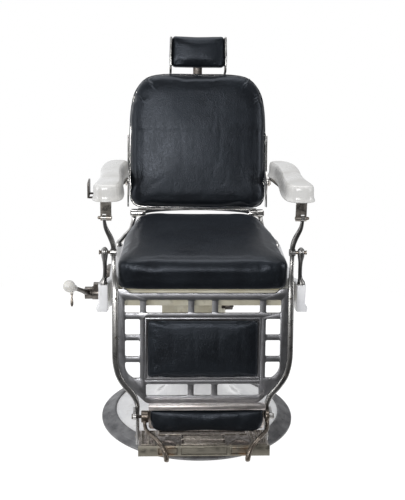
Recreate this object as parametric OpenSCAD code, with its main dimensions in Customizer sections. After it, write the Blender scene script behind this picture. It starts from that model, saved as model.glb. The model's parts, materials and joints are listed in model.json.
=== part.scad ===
// Hydraulic barber chair: round base, lifting ram, reclining seat with a linked leg rest.
// The sitter faces -Y, +X is on the right of someone who faces the chair, +Z is up.
// The origin is on the floor, on the swivel axis.

/* [Base] */
// Outer diameter of the base ring
base_d = 635; // [560:5:700]
// Radial width of the base ring
ring_w = 48; // [36:1:60]
// Height of the base ring at its inner edge
ring_h = 30; // [24:1:36]
// Height of the base ring at its outer edge
ring_edge_h = 9; // [5:1:12]
// Distance of the step line from the outer edge
ring_step_in = 17; // [10:1:24]
// Diameter of the enamelled column at its top
col_top_d = 156; // [148:2:180]
// Height of the column's top above the floor
col_top_z = 284; // [270:2:300]
// Wall of the base casting
casting_t = 9; // [7:1:11]

/* [Hydraulics] */
// Bore of the cylinder
cyl_bore_d = 90; // [86:1:92]
// Wall of the cylinder
cyl_wall = 9; // [7:1:10]
// Thickness of the cylinder's bottom flange
cyl_flange_t = 13; // [10:1:14]
// Diameter of the cylinder's bottom flange
cyl_flange_d = 200; // [180:5:220]
// Diameter of the gland nut
gland_d = 128; // [120:2:140]
// Height of the gland nut
gland_h = 20; // [16:1:24]
// Diameter of the ram
ram_d = 64; // [56:1:70]
// Lowest point of the piston at rest
ram_foot_z = 30; // [26:1:40]
// Height of the ram's shoulder, where the chair turns
ram_shoulder_z = 362; // [350:2:370]
// Diameter of the spigot that the chair turns on
spigot_d = 44; // [36:1:50]
// Length of the spigot
spigot_len = 46; // [36:1:48]
// Height of the piston
piston_h = 22; // [16:1:30]

/* [Chair frame] */
// Diameter of the pump head's drum
head_d = 176; // [160:2:190]
// Height of the pump head
head_h = 84; // [82:1:90]
// Reach of the pump head's lever boss from the axis
head_reach = 119; // [110:1:130]
// Height of the seat hub casting
hub_h = 33; // [30:1:36]
// Width of the beams of the seat hub
beam_w = 44; // [36:2:60]
// Distance of the beams' centres in front of and behind the axis
beam_y = 125; // [110:5:140]
// Height of the seat frame's apron
apron_h = 48; // [40:1:50]
// Sheet thickness of the seat frame
frame_t = 6; // [4:1:8]
// Distance from the seat cushion's side in to the seat frame, at the front
frame_front_in = 20; // [16:1:30]
// Distance from the seat cushion's side in to the seat frame, at the rear
frame_rear_in = 80; // [66:1:90]
// Front face of the seat frame, ahead of the axis
frame_front = 250; // [240:1:254]
// Rear face of the seat frame, behind the axis
frame_rear = 172; // [160:1:180]
// Thickness of the plywood seat board
board_t = 10; // [8:1:12]
// Distance of the side frames' centre line outside the posts' centre line
side_front_out = 5; // [2:1:6]
// Distance of the side frames' centre line outside the seat cushion, over the beams
side_mid_out = 10; // [9:1:12]
// Height of the side frames
side_h = 84; // [76:1:90]
// Width of the side frames at the top
side_w = 31; // [26:1:32]
// Rear end of the side frames, behind the axis
side_rear = 190; // [184:2:200]

/* [Recline linkage] */
// Height of the front and rear pivots
pivot_z = 646; // [640:1:652]
// Distance of the front pivots ahead of the axis
front_pivot_y = 230; // [226:1:234]
// Distance of the rear pivots behind the axis
rear_pivot_y = 205; // [203:1:210]
// Height of the arm pins above the pivots
crank = 106; // [104:1:110]
// Diameter of the front pivot pins
front_pin_d = 10; // [8:0.5:11]
// Diameter of the rear pivot pins
rear_pin_d = 12; // [10:0.5:14]
// Diameter of the arm pins
arm_pin_d = 7; // [6:0.5:8]
// Distance of the front posts' centre line outside the seat cushion
post_out = 36; // [35:1:38]
// Centre line of the rear posts' top eyes, from the middle
rear_post_x = 211.5; // [209:0.5:213]
// Width of the rear posts' top eyes
rear_eye_w = 19; // [15:1:20]

/* [Seat cushion] */
// Half width of the seat cushion near the front
seat_half = 256; // [252:1:257]
// Front face of the seat cushion, ahead of the axis
seat_front = 267; // [262:1:268]
// Rear face of the seat cushion, behind the axis
seat_rear = 187; // [180:1:188]
// Height of the seat cushion's boxed side
seat_side_h = 95; // [86:1:98]
// Rise of the crown over the boxed side
seat_crown = 20; // [10:1:24]
// Rise of the crown from the front to the rear
seat_slope = 34; // [20:1:36]

/* [Back] */
// Lean of the back from upright, in degrees
back_tilt = 12.5; // [11:0.5:14]
// Height of the back cushion's lower front edge
back_z = 669; // [669:1:674]
// Distance of that edge behind the axis
back_y = 190; // [188:1:192]
// Half width of the back cushion
back_half = 227; // [220:1:227]
// Height of the back cushion along its slope
back_h = 442; // [420:2:460]
// Thickness of the back cushion at its edge
back_t = 44; // [38:1:46]
// Rise of the back cushion's crown
back_crown = 22; // [12:1:24]
// Sheet thickness of the back pan
pan_t = 2.5; // [2:0.1:3]
// Depth of the back pan's rim
pan_rim = 22; // [14:1:26]
// Thickness of the side strips
strip_t = 5; // [4:0.5:5.5]
// Top of the side strips above the cushion's lower edge
strip_top = 250; // [220:5:280]

/* [Headrest] */
// Width of the headrest stem
stem_w = 30; // [24:1:34]
// Thickness of the headrest stem
stem_t = 8; // [6:0.5:9]
// Half width of the headrest pad
head_pad_half = 86; // [78:1:92]
// Height of the headrest pad
head_pad_h = 101; // [90:1:110]
// Thickness of the headrest pad at its edge
head_pad_t = 36; // [30:1:40]
// Gap between the back cushion's top and the pad's lower edge
head_gap = 26; // [26:1:38]
// Thickness of the headrest end plates
end_plate_t = 8.5; // [6:0.5:10]
// Diameter of the paper rod
paper_rod_d = 7; // [5:0.5:9]

/* [Arms] */
// Distance of the arms' centre line inside the front posts' centre line
arm_in = 10; // [8:1:11]
// Height of the arms
arm_h = 50; // [44:1:52]
// Height of the arms' lower face at the front
arm_z = 804; // [802:1:808]
// Front end of the arms, ahead of the axis
arm_front = 250; // [246:1:254]
// Length of the arms
arm_len = 410; // [404:2:414]
// Fall of the arms towards the rear, in degrees
arm_fall = 2; // [1:0.5:2.5]
// Flare of the arms' lower lip
arm_lip = 4.5; // [2:0.5:6]
// Thickness of the arm bracket
bracket_t = 5; // [4:0.5:6]
// Width of the arms' front strap
strap_w = 32; // [30:1:34]

/* [Leg rest] */
// Lean of the leg rest from upright, in degrees
leg_tilt = 9.4; // [8:0.2:11]
// Height of the leg panel's top edge
leg_z = 536; // [532:1:540]
// Distance of the leg panel's face ahead of the axis, at that edge
leg_y = 285; // [284:1:290]
// Height of the leg panel along its slope
panel_h = 334; // [332:1:336]
// Thickness of the leg panel
panel_t = 12; // [8:1:14]
// Distance of the side rails' centre line inside the front posts', beside the panel
rail_in = 31.5; // [30:0.5:33]
// Half width of the side rails
rail_a = 9.3; // [8.5:0.1:9.5]
// Half depth of the side rails
rail_b = 11; // [9:0.5:12]
// Centre line of the rails' lower straps, from the middle
strap_x = 194; // [193.5:0.5:196]
// Lower end of the straps along the slope
strap_s = 462; // [458:1:466]
// Width of the bars between the windows
bar_w = 17; // [15:0.5:19]
// Half width of the calf pad
calf_half = 166; // [160:1:167]
// Thickness of the calf pad at its edge
calf_t = 10; // [8:1:14]

/* [Footplate] */
// Top of the footplate along the slope
plate_s = 425; // [424:1:430]
// Reach of the footplate in front of the panel's face
plate_reach = 125; // [115:1:128]
// Height of the footplate's front lip
lip_h = 30; // [24:1:32]
// Thickness of the footplate's deck
deck_t = 7; // [5:0.5:9]

/* [Flip footrest] */
// Half width of the flip tray
flip_half = 173; // [165:1:173]
// Sideways place of the flip tray between its pins
flip_shift = 12; // [8:0.5:12]
// Height of the flip pins along the slope
flip_s = 364; // [363:1:366]
// Distance of the flip pins in front of the panel's face
flip_n = 34; // [34:0.5:36]
// Diameter of the flip pins
flip_pin_d = 10; // [8:0.5:12]
// Depth of the tray's top flange
tray_depth = 32; // [26:1:34]
// Height of the tray's front lip
tray_lip = 14; // [8:1:16]

/* [Pump lever] */
// Diameter of the lever shaft
shaft_d = 22; // [18:1:24]
// Reach of the lever shaft to the left of the axis
shaft_reach = 368; // [364:1:372]
// Diameter of the ball knob
ball_d = 38; // [32:1:42]
// Reach of the ball ahead of the shaft
ball_ahead = 180; // [160:5:190]
// Height of the ball above the shaft
ball_up = 86; // [76:2:96]

/* [Fits] */
// Radial clearance of turning and sliding fits
run_fit = 0.05; // [0.02:0.01:0.09]
// Gap between faces that stay clear of each other
gap = 0.3; // [0.25:0.05:0.4]
// Radial clearance of the open pivots at the arm fronts
open_fit = 0.5; // [0.4:0.05:0.6]

/* [Hidden] */
$fn = 64;

IRON = [0.62, 0.62, 0.63];
NICKEL = [0.72, 0.71, 0.69];
CHROME = [0.85, 0.86, 0.88];
ENAMEL = [0.93, 0.93, 0.92];
CREAM = [0.80, 0.79, 0.70];
HIDE = [0.07, 0.08, 0.09];
STEEL = [0.30, 0.30, 0.31];
BRASS = [0.72, 0.60, 0.35];
WOOD = [0.66, 0.52, 0.36];
RUBBER = [0.12, 0.12, 0.12];

post_x = seat_half + post_out;
side_front_x = post_x + side_front_out;
side_mid_x = seat_half + side_mid_out;
frame_front_half = seat_half - frame_front_in;
frame_rear_half = seat_half - frame_rear_in;
rail_x = post_x - rail_in;
arm_x = post_x - arm_in;
head_pad_u = back_h + head_gap;
ring_in = base_d / 2 - ring_w;
head_z = ram_shoulder_z + 6;
head_top_z = head_z + head_h;
shaft_z = head_z + spigot_len + 21;
hub_top_z = head_top_z + hub_h;
frame_top_z = hub_top_z + apron_h;
board_z = frame_top_z - 7;
seat_z = board_z + board_t;
side_top_z = seat_z + 10;
side_bottom_z = side_top_z - side_h;
arm_pin_z = pivot_z + crank;
front_pin_r = front_pin_d / 2;
rear_pin_r = rear_pin_d / 2;
arm_pin_r = arm_pin_d / 2;
rail_top_x = post_x;
rail_pivot_x = post_x - 26;
rear_eye_r = 14;
strip_in = back_half + gap + pan_t + gap;
lug_x = strip_in + strip_t + 0.6;
cushion_back = back_t + 10;
pan_back = cushion_back + pan_t;
stem_y = pan_back + 9;
tilt_u = head_pad_u + 36;

// ---- Curves and shells ----

// A point on the smooth curve through b and c
function catmull(a, b, c, d, t) =
    0.5 * (2 * b + (c - a) * t + (2 * a - 5 * b + 4 * c - d) * t * t + (3 * b - a - 3 * c + d) * t * t * t);

// A smooth open curve through the points of P, n steps for each span
function curve(P, n) = [
    for (i = [0:len(P) - 2]) for (j = [0:n - 1])
        catmull(P[max(i - 1, 0)], P[i], P[i + 1], P[min(i + 2, len(P) - 1)], j / n),
    P[len(P) - 1]];

// A smooth closed curve through the points of P, n steps for each span
function closed_curve(P, n) = let (m = len(P)) [
    for (i = [0:m - 1]) for (j = [0:n - 1])
        catmull(P[(i + m - 1) % m], P[i], P[(i + 1) % m], P[(i + 2) % m], j / n)];

// The right half of an outline, from its lowest to its highest middle point, made whole
function both_sides(H) = concat(H, [for (i = [len(H) - 2:-1:1]) [-H[i][0], H[i][1]]]);

function unit(v) = v / norm(v);
function place(e) = [e[0], e[1], e[2]];
function tangent(P, i) = unit(place(P[min(i + 1, len(P) - 1)]) - place(P[max(i - 1, 0)]));
function stretch(v, k) = sign(v) * pow(abs(v), k);

// A rounded cross-section at e = [x, y, z, half width, half depth], square to direction t
function section(e, t, n, k) =
    let (u = unit([1, 0, 0] - t[0] * t), v = cross(t, u))
    [for (i = [0:n - 1]) let (w = 360 * (i + 0.5) / n)
        place(e) + e[3] * stretch(cos(w), k) * u + e[4] * stretch(sin(w), k) * v];

// A closed shell through rings of equal length, each wound to the left about the stacking direction
module loft(rings) {
    n = len(rings[0]);
    m = len(rings);
    low = [for (k = [0:2]) let (c = [for (p = rings[0]) p[k]]) total(c) / n];
    high = [for (k = [0:2]) let (c = [for (p = rings[m - 1]) p[k]]) total(c) / n];
    points = concat([for (r = rings) for (p = r) p], [low, high]);
    walls = [for (k = [0:m - 2]) for (i = [0:n - 1]) let (
        a = k * n + i, b = k * n + (i + 1) % n, c = b + n, d = a + n) each [[a, d, c], [a, c, b]]];
    floor_fan = [for (i = [0:n - 1]) [n * m, i, (i + 1) % n]];
    top_fan = [for (i = [0:n - 1]) [n * m + 1, (m - 1) * n + (i + 1) % n, (m - 1) * n + i]];
    polyhedron(points = points, faces = concat(floor_fan, walls, top_fan), convexity = 6);
}
function total(v, i = 0) = i < len(v) ? v[i] + total(v, i + 1) : 0;

// A rounded bar along P, whose points are [x, y, z, half width, half depth]
module bar(P, n = 12, k = 1) {
    loft([for (i = [0:len(P) - 1]) section(P[i], tangent(P, i), n, k)]);
}

// A padded form over an outline: each ring is [inset, share of the outline, height]
module padded(outline, centre, rings, slope = 0) {
    loft([for (r = rings) [for (p = outline)
        let (d = p - centre, q = centre + d * (1 - r[0] / norm(d)) * r[1])
        [q[0], q[1], r[2] + (r[3] == undef ? 0 : r[3]) * slope * (q[1] - centre[1])]]]);
}

module round_rect(w, h, r) {
    square([w - 2 * r, h], center = true);
    square([w, h - 2 * r], center = true);
    for (x = [-1, 1], y = [-1, 1])
        translate([x * (w / 2 - r), y * (h / 2 - r)]) circle(r);
}

// A cylinder along X from x0 to x1
module rod_x(x0, x1, r, y, z) {
    translate([x0, y, z]) rotate([0, 90, 0]) cylinder(h = x1 - x0, r = r);
}

// A thin plate square to X, from x0 to x1, with its outline drawn as [y, z]
module plate_x(x0, x1) {
    translate([x0, 0, 0]) rotate([90, 0, 90]) linear_extrude(x1 - x0) children();
}

module both() {
    children();
    mirror([1, 0, 0]) children();
}

// The part's own slanted frames: the back's lower front edge and the leg panel's top edge
module in_back() {
    translate([0, back_y, back_z]) rotate([-back_tilt, 0, 0]) children();
}
module in_leg() {
    translate([0, -leg_y, leg_z]) rotate([-leg_tilt, 0, 0]) children();
}
module in_arm() {
    translate([0, -arm_front, arm_z]) rotate([-arm_fall, 0, 0]) children();
}

// A point of the leg rest, n in front of the panel's face and s down its slope
function leg_point(x, n, s) = [
    x,
    -leg_y - n * cos(leg_tilt) - s * sin(leg_tilt),
    leg_z + n * sin(leg_tilt) - s * cos(leg_tilt)];
// The place of a world point in the back's frame, as [rearward, upward]
function back_place(y, z) = [
    (y - back_y) * cos(back_tilt) - (z - back_z) * sin(back_tilt),
    (y - back_y) * sin(back_tilt) + (z - back_z) * cos(back_tilt)];
rear_at = back_place(rear_pivot_y, pivot_z);
arm_at = back_place(rear_pivot_y, arm_pin_z);

// ---- Base ----

dish = curve([
    [ring_in - gap, ring_h - 4], [230, 32], [185, 42], [145, 60], [114, 92], [97, 140],
    [86, 200], [col_top_d / 2, col_top_z - 16], [col_top_d / 2, col_top_z]], 4);

module base_plate() {
    // The inner face follows the outer one, up to the shoulder that the gland nut hides
    inner = [for (i = [len(dish) - 4:-1:0]) let (
        a = dish[max(i - 1, 0)], b = dish[min(i + 1, len(dish) - 1)], t = (b - a) / norm(b - a))
        [dish[i][0] - t[1] * casting_t, max(dish[i][1] + t[0] * casting_t, cyl_flange_t)]];
    shoulder = [[cyl_r + 1, col_top_z], [cyl_r + 1, col_top_z - 7]];
    color(ENAMEL) {
        rotate_extrude($fn = 128) polygon(concat(dish, shoulder, inner, [[ring_in - gap, cyl_flange_t]]));
        translate([0, 0, cyl_flange_t]) difference() {
            cylinder(h = 8, r = ring_in - 4, $fn = 128);
            translate([0, 0, -1]) cylinder(h = 10, r = cyl_r + 1);
            for (a = [30:60:330]) rotate(a) translate([bolt_pcr, 0, -1]) cylinder(h = 10, r = 5.5);
        }
    }
}
cyl_r = cyl_bore_d / 2 + cyl_wall;
bolt_pcr = cyl_flange_d / 2 - 14;

module base_ring() {
    r = base_d / 2;
    color(IRON) rotate_extrude($fn = 128) polygon([
        [ring_in, 0], [r, 0], [r, ring_edge_h - 3], [r - 3, ring_edge_h],
        [r - ring_step_in, ring_edge_h + 5], [r - ring_step_in - 2, ring_edge_h + 8],
        [ring_in + 6, ring_h], [ring_in + 2, ring_h], [ring_in, ring_h - 2]]);
}

module cylinder_tube() {
    color(STEEL) difference() {
        union() {
            cylinder(h = cyl_flange_t, r = cyl_flange_d / 2);
            cylinder(h = col_top_z, r = cyl_r);
        }
        translate([0, 0, cyl_flange_t + 1]) cylinder(h = col_top_z, r = cyl_bore_d / 2);
        for (a = [30:60:330]) rotate(a) translate([bolt_pcr, 0, 2]) cylinder(h = cyl_flange_t, r = 5.5);
    }
}

module gland_nut() {
    color(NICKEL) translate([0, 0, col_top_z]) difference() {
        union() {
            cylinder(h = gland_h - 4, r = gland_d / 2, $fn = 128);
            translate([0, 0, gland_h - 4]) cylinder(h = 4, r1 = gland_d / 2, r2 = gland_d / 2 - 4, $fn = 128);
        }
        translate([0, 0, -1]) cylinder(h = gland_h + 2, r = ram_d / 2 + run_fit);
        translate([0, 0, -1]) cylinder(h = 11, r = ram_d / 2 + 8);
        for (a = [0:60:300]) rotate(a) translate([gland_d / 2, 0, 4]) cylinder(h = gland_h, r = 5);
    }
}

module gland_seal() {
    color(RUBBER) translate([0, 0, col_top_z]) difference() {
        cylinder(h = 10, r = ram_d / 2 + 7.7);
        translate([0, 0, -1]) cylinder(h = 12, r = ram_d / 2 + gap);
    }
}

module base_bolts() {
    color(STEEL) for (a = [30:60:330]) rotate(a) translate([bolt_pcr, 0, 3]) {
        cylinder(h = cyl_flange_t + 5, r = 5.2);
        translate([0, 0, cyl_flange_t + 5]) cylinder(h = 7, r = 9.5, $fn = 6);
    }
}

// ---- Ram ----

module ram() {
    color(CHROME) {
        translate([0, 0, ram_foot_z + piston_h + 6]) {
            cylinder(h = ram_shoulder_z - ram_foot_z - piston_h - 6, r = ram_d / 2);
        }
        translate([0, 0, ram_foot_z + 2]) cylinder(h = piston_h + 6, r = spigot_d / 2);
        translate([0, 0, ram_shoulder_z]) cylinder(h = spigot_len + 4, r = spigot_d / 2);
    }
}

module piston() {
    color(IRON) translate([0, 0, ram_foot_z]) difference() {
        cylinder(h = piston_h, r = cyl_bore_d / 2 - run_fit);
        translate([0, 0, 2]) cylinder(h = piston_h, r = spigot_d / 2 + gap);
    }
}

module piston_cup() {
    color(RUBBER) translate([0, 0, ram_foot_z + piston_h]) difference() {
        cylinder(h = 6, r = cyl_bore_d / 2 - gap);
        translate([0, 0, -1]) cylinder(h = 8, r = spigot_d / 2 + gap);
    }
}

module swivel_bearing() {
    color(BRASS) translate([0, 0, ram_shoulder_z]) difference() {
        cylinder(h = 6 - 0.2, r = spigot_d / 2 + 12);
        translate([0, 0, -1]) cylinder(h = 8, r = spigot_d / 2 + gap);
    }
}

// ---- Chair frame ----

module pump_head() {
    color(CREAM) difference() {
        union() {
            translate([0, 0, head_z]) cylinder(h = head_h, r = head_d / 2, $fn = 96);
            translate([-head_reach, -52, head_z + 8]) cube([head_reach, 104, head_h - 10]);
        }
        translate([0, 0, head_z - 1]) cylinder(h = spigot_len, r = spigot_d / 2 + run_fit);
        translate([0, 0, head_z - 1]) cylinder(h = 3, r = spigot_d / 2 + 1);
        rod_x(-head_reach - 1, -12, shaft_d / 2 + run_fit, 0, shaft_z);
        rod_x(plug_x - 20, plug_x + 20, 8.02, -head_d / 4, head_z + 38);
    }
}

plug_x = head_d / 2 * cos(30) + 7;
module valve_plug() {
    color(STEEL) {
        rod_x(plug_x - 20, plug_x, 8, -head_d / 4, head_z + 38);
        rod_x(plug_x, plug_x + 24, 12, -head_d / 4, head_z + 38);
        rod_x(plug_x + 24, plug_x + 27, 5, -head_d / 4, head_z + 38);
    }
}

side_in = side_mid_x - side_w / 2;
module seat_hub() {
    top = hub_top_z - head_top_z;
    color(CREAM) translate([0, 0, head_top_z]) {
        cylinder(h = top, r = 82, $fn = 96);
        for (y = [-beam_y, beam_y]) {
            translate([-side_in, y - beam_w / 2, 3]) cube([2 * side_in, beam_w, top - 3]);
            both() translate([side_in - 8, y - beam_w / 2, 3]) cube([8, beam_w, top + 27]);
        }
        translate([-beam_w, -beam_y, 3]) cube([2 * beam_w, 2 * beam_y, top - 3]);
    }
}

function frame_plan(inset) = [
    [-frame_front_half + inset, -frame_front + inset], [frame_front_half - inset, -frame_front + inset],
    [frame_front_half - inset, -120], [frame_rear_half - inset, frame_rear - inset],
    [-frame_rear_half + inset, frame_rear - inset], [-frame_front_half + inset, -120]];

module seat_frame() {
    color(CREAM) {
        translate([0, 0, hub_top_z]) linear_extrude(apron_h) difference() {
            polygon(frame_plan(0));
            polygon(frame_plan(frame_t));
        }
        translate([0, 0, board_z - frame_t]) linear_extrude(frame_t) polygon(frame_plan(frame_t / 2));
        for (y = [-beam_y, beam_y])
            translate([-60, y - beam_w / 2, hub_top_z]) cube([120, beam_w, board_z - frame_t - hub_top_z]);
    }
}

// Centre line of the left and right side frames, from the middle
function side_x(y) =
    let (t = min(max((y + front_pivot_y - 15) / (front_pivot_y - beam_y - beam_w / 2 - 17), 0), 1))
    side_front_x + (side_mid_x - side_front_x) * t * t * (3 - 2 * t);

module side_frame() {
    top = side_w / 2;
    // A lip runs along the foot of the casting and fades behind the front end
    stations = concat([-front_pivot_y - 15, -front_pivot_y, -front_pivot_y + 12],
        [for (i = [0:5]) let (y0 = -front_pivot_y + 15, y1 = -beam_y - beam_w / 2 - 2) y0 + (y1 - y0) * i / 5]);
    ys = concat(stations, [side_rear - 12, side_rear]);
    rings = [for (y = ys) let (
        c = side_x(y),
        lip = y < -front_pivot_y + 10 ? 4.5 : 3,
        e = (y == ys[0] || y == side_rear) ? 3 : 0)
        [for (p = [
            [-top + e, 0], [top - 3 - e, 0], [top - e, 3], [top - e, 9], [top - e, 20],
            [top - e, side_h - 4], [top - 3 - e, side_h], [-top + 3 + e, side_h], [-top + e, side_h - 4],
            [-top + e, 20], [-top - 3 - lip + e, 9], [-top - 3 - lip + e, 3], [-top - 1 - lip + e, 0]])
            [-c + p[0], y, side_bottom_z + p[1]]]];
    // Rings run towards the rear, so they are wound to the left about +Y
    loft([for (r = rings) [for (i = [len(r) - 1:-1:0]) r[i]]]);
}
module side_frame_left() { color(ENAMEL) side_frame(); }
module side_frame_right() { color(ENAMEL) mirror([1, 0, 0]) side_frame(); }

// Front post of the left side: head, neck and foot
module front_post() {
    y = -front_pivot_y;
    foot = side_top_z + gap;
    P = curve([
        [-side_front_x, y, foot, 12.5, 12.5], [-side_front_x, y, foot + 2.5, 12, 12],
        [-side_front_x, y, foot + 5, 11.5, 11.5],
        [-post_x - 1.5, y, foot + 18, 7, 7.5], [-post_x, y, foot + 40, 5.8, 7],
        [-post_x, y, pivot_z - 30, 6.5, 9], [-post_x - 0.5, y, pivot_z - 14, 9.5, 12],
        [-post_x - 0.5, y, pivot_z, 11, 13.5], [-post_x, y, pivot_z + 9, 9.5, 11],
        [-post_x, y, pivot_z + 15, 4, 5]], 2);
    difference() {
        bar(P, 16);
        rod_x(-post_x - 20, -post_x + 20, front_pin_r + 0.02, y, pivot_z);
    }
}
module front_post_left() { color(NICKEL) front_post(); }
module front_post_right() { color(NICKEL) mirror([1, 0, 0]) front_post(); }

// Rear post of the left side: a foot on the side frame and an eye at the rear pivot
module rear_post() {
    foot = side_top_z + gap;
    x0 = -side_mid_x + 3;
    y0 = side_rear - 32;
    P = concat([[x0, y0, foot, 14, 17]], curve([
        [x0, y0, foot + 2, 13.5, 16.4], [x0 + 0.5, y0 + 0.3, foot + 10, 9.5, 11.5],
        [x0 + 10, y0 + 6, foot + 19, 8, 9.5], [x0 + 20, y0 + 13, foot + 30, 7.8, 9],
        [-rear_post_x - 12, rear_pivot_y - 20, foot + 48, 7.5, 9],
        [-rear_post_x - 3, rear_pivot_y - 5, pivot_z - 24, 8, 10],
        [-rear_post_x, rear_pivot_y, pivot_z - 6, 8.5, 11]], 3));
    difference() {
        union() {
            bar(P, 12);
            rod_x(-rear_post_x - rear_eye_w / 2, -rear_post_x + rear_eye_w / 2, rear_eye_r, rear_pivot_y, pivot_z);
        }
        rod_x(-rear_post_x - 20, -rear_post_x + 20, rear_pin_r + 0.02, rear_pivot_y, pivot_z);
    }
}
module rear_post_left() { color(CHROME) rear_post(); }
module rear_post_right() { color(CHROME) mirror([1, 0, 0]) rear_post(); }

module front_pivot_pins() {
    color(NICKEL) both() {
        rod_x(-post_x - 14, -rail_pivot_x + 9, front_pin_r, -front_pivot_y, pivot_z);
        rod_x(-post_x - 17, -post_x - 14, front_pin_r + 2, -front_pivot_y, pivot_z);
    }
}

boss_end = rear_post_x - rear_eye_w / 2 - gap;
module rear_pivot_pins() {
    color(STEEL) both() {
        rod_x(-rear_post_x - rear_eye_w / 2 - 1, -boss_end + 24, rear_pin_r, rear_pivot_y, pivot_z);
        rod_x(-rear_post_x - rear_eye_w / 2 - 4, -rear_post_x - rear_eye_w / 2 - 1, rear_pin_r + 3, rear_pivot_y, pivot_z);
    }
}

module seat_board() {
    color(WOOD) translate([0, 0, board_z]) linear_extrude(board_t) polygon(frame_plan(frame_t + 1));
}

seat_plan = closed_curve(both_sides([
    [0, -seat_front], [seat_half - 96, -seat_front + 1], [seat_half - 30, -seat_front + 4],
    [seat_half - 6, -seat_front + 17], [seat_half, -seat_front + 44], [seat_half - 4.5, -165], [seat_half - 10, -90],
    [seat_half - 14, -20], [seat_half - 26, 50], [seat_half - 42, 115], [seat_half - 58, 158],
    [seat_half - 92, seat_rear - 5], [seat_half - 150, seat_rear], [0, seat_rear]]), 2);

module seat_cushion() {
    s = seat_slope / (seat_front + seat_rear);
    edge = seat_z + seat_side_h;
    color(HIDE) padded(seat_plan, [0, -60], [
        [9, 1, seat_z, 0], [2, 1, seat_z + 4, 0], [0, 1, seat_z + 14, 0], [2.5, 1, seat_z + seat_side_h / 2, 0],
        [0.5, 1, edge - 12, 0.3], [2.5, 1, edge - 3, 0.7], [8, 1, edge + 4, 1], [18, 1, edge + 9, 1],
        [18, 0.86, edge + 13, 1], [18, 0.66, edge + seat_crown - 3.5, 1], [18, 0.4, edge + seat_crown - 0.8, 1],
        [18, 0.12, edge + seat_crown, 1]], s);
}

module frame_bolts() {
    color(NICKEL) both() for (y = [-beam_y, beam_y])
        for (d = [-13, 13])
            rod_x(-side_mid_x - side_w / 2 - 7, -side_mid_x - side_w / 2 - gap, 8, y + d, hub_top_z + 14);
}

// ---- Pump lever ----

bracket_out = shaft_reach - 24;
module lever_bracket() {
    wall = side_mid_x + side_w / 2;
    color(STEEL) difference() {
        union() {
            rod_x(-bracket_out, -wall - 10, shaft_d / 2 + 11, 0, shaft_z);
            translate([-bracket_out + 4, -12, shaft_z]) cube([bracket_out - wall - 14, 24, 33]);
            translate([-wall - 20, -20, shaft_z]) cube([10, 40, side_bottom_z + 60 - shaft_z]);
            translate([-wall - 12, -34, side_bottom_z + 24]) cube([12, 68, 36]);
        }
        rod_x(-bracket_out - 1, -wall + 10, shaft_d / 2 + gap, 0, shaft_z);
    }
}

ball_at = [-shaft_reach - 35, -ball_ahead, shaft_z + ball_up];
hub_x = shaft_reach - 11;
arm_dir = unit(ball_at - [-hub_x, 0, shaft_z]);
arm_reach = norm(ball_at - [-hub_x, 0, shaft_z]);
// A point of the lever's arm, d along it from the shaft
function arm_point(d, r) = concat([-hub_x, 0, shaft_z] + arm_dir * d, [r, r]);
trigger_at = place(arm_point(arm_reach - 26, 0)) - [0, 0, 18];

module pump_lever() {
    color(STEEL) {
        rod_x(-shaft_reach, -14, shaft_d / 2, 0, shaft_z);
        rod_x(-shaft_reach, -bracket_out - gap, shaft_d / 2 + 9, 0, shaft_z);
        bar([arm_point(8, 11), arm_point(34, 10), arm_point(60, 7.5), arm_point(arm_reach - 52, 6.5)], 12);
    }
}

module lever_ferrule() {
    start = place(arm_point(arm_reach - 52 + gap, 0));
    color(NICKEL) difference() {
        union() {
            multmatrix(along(start, arm_dir)) {
                cylinder(h = 14, r = 11);
                translate([0, 0, 14]) cylinder(h = 20 - 2 * gap, r1 = 11, r2 = 8);
            }
            translate(trigger_at + [-1.5, -4, -3]) cube([3, 8, 16]);
            rod_x(trigger_at[0] - 1.5, trigger_at[0] + 1.5, 4.5, trigger_at[1], trigger_at[2]);
        }
        rod_x(trigger_at[0] - 10, trigger_at[0] + 10, 2.5, trigger_at[1], trigger_at[2]);
    }
}

// Turns +Z to direction d and moves it to p
function along(p, d) =
    let (u = unit(cross([0, 0, 1], d)), v = cross(d, u))
    [[u[0], v[0], d[0], p[0]], [u[1], v[1], d[1], p[1]], [u[2], v[2], d[2], p[2]], [0, 0, 0, 1]];

module lever_knob() {
    color(ENAMEL) difference() {
        translate(ball_at) sphere(d = ball_d);
        multmatrix(along(place(arm_point(arm_reach - 40, 0)), arm_dir)) cylinder(h = 22, r = 11 + gap);
    }
}

module release_trigger() {
    x = trigger_at[0];
    y = trigger_at[1];
    z = trigger_at[2];
    color(NICKEL) {
        rod_x(x - 4.5, x + 4.5, 2.5 - run_fit, y, z);
        for (e = [[-4.5, -1.5 - gap], [1.5 + gap, 4.5]]) rod_x(x + e[0], x + e[1], 5.4, y, z);
        bar(curve([[x, y, z - 5, 4.4, 1.6], [x, y, z - 6, 4.2, 1.7], [x, y, z - 7, 4, 1.8], [x, y - 2, z - 12, 2.6, 2], [x, y - 5, z - 24, 4.2, 2.6],
            [x, y - 7, z - 34, 5, 3], [x, y - 8, z - 42, 2.5, 2]], 3), 12);
    }
}

// ---- Back ----

back_outline = closed_curve(both_sides([
    [0, 0], [back_half - 75, 0.5], [back_half - 27, 4], [back_half - 5, 24], [back_half - 0.8, 66],
    [back_half, 150], [back_half - 1, 230], [back_half - 3, back_h - 148], [back_half - 7, back_h - 105],
    [back_half - 16, back_h - 66], [back_half - 33, back_h - 36], [back_half - 56, back_h - 14],
    [back_half - 90, back_h - 3], [back_half - 150, back_h + 1], [0, back_h]]), 2);
back_middle = [0, back_h * 0.48];

// Draws an outline in the back's frame, from y0 to y1 rearwards
module back_slab(y0, y1) {
    translate([0, y1, 0]) rotate([90, 0, 0]) linear_extrude(y1 - y0) children();
}

function grown(P, c, d) = [for (p = P) let (v = p - c) c + v * (1 + d / norm(v))];

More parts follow.
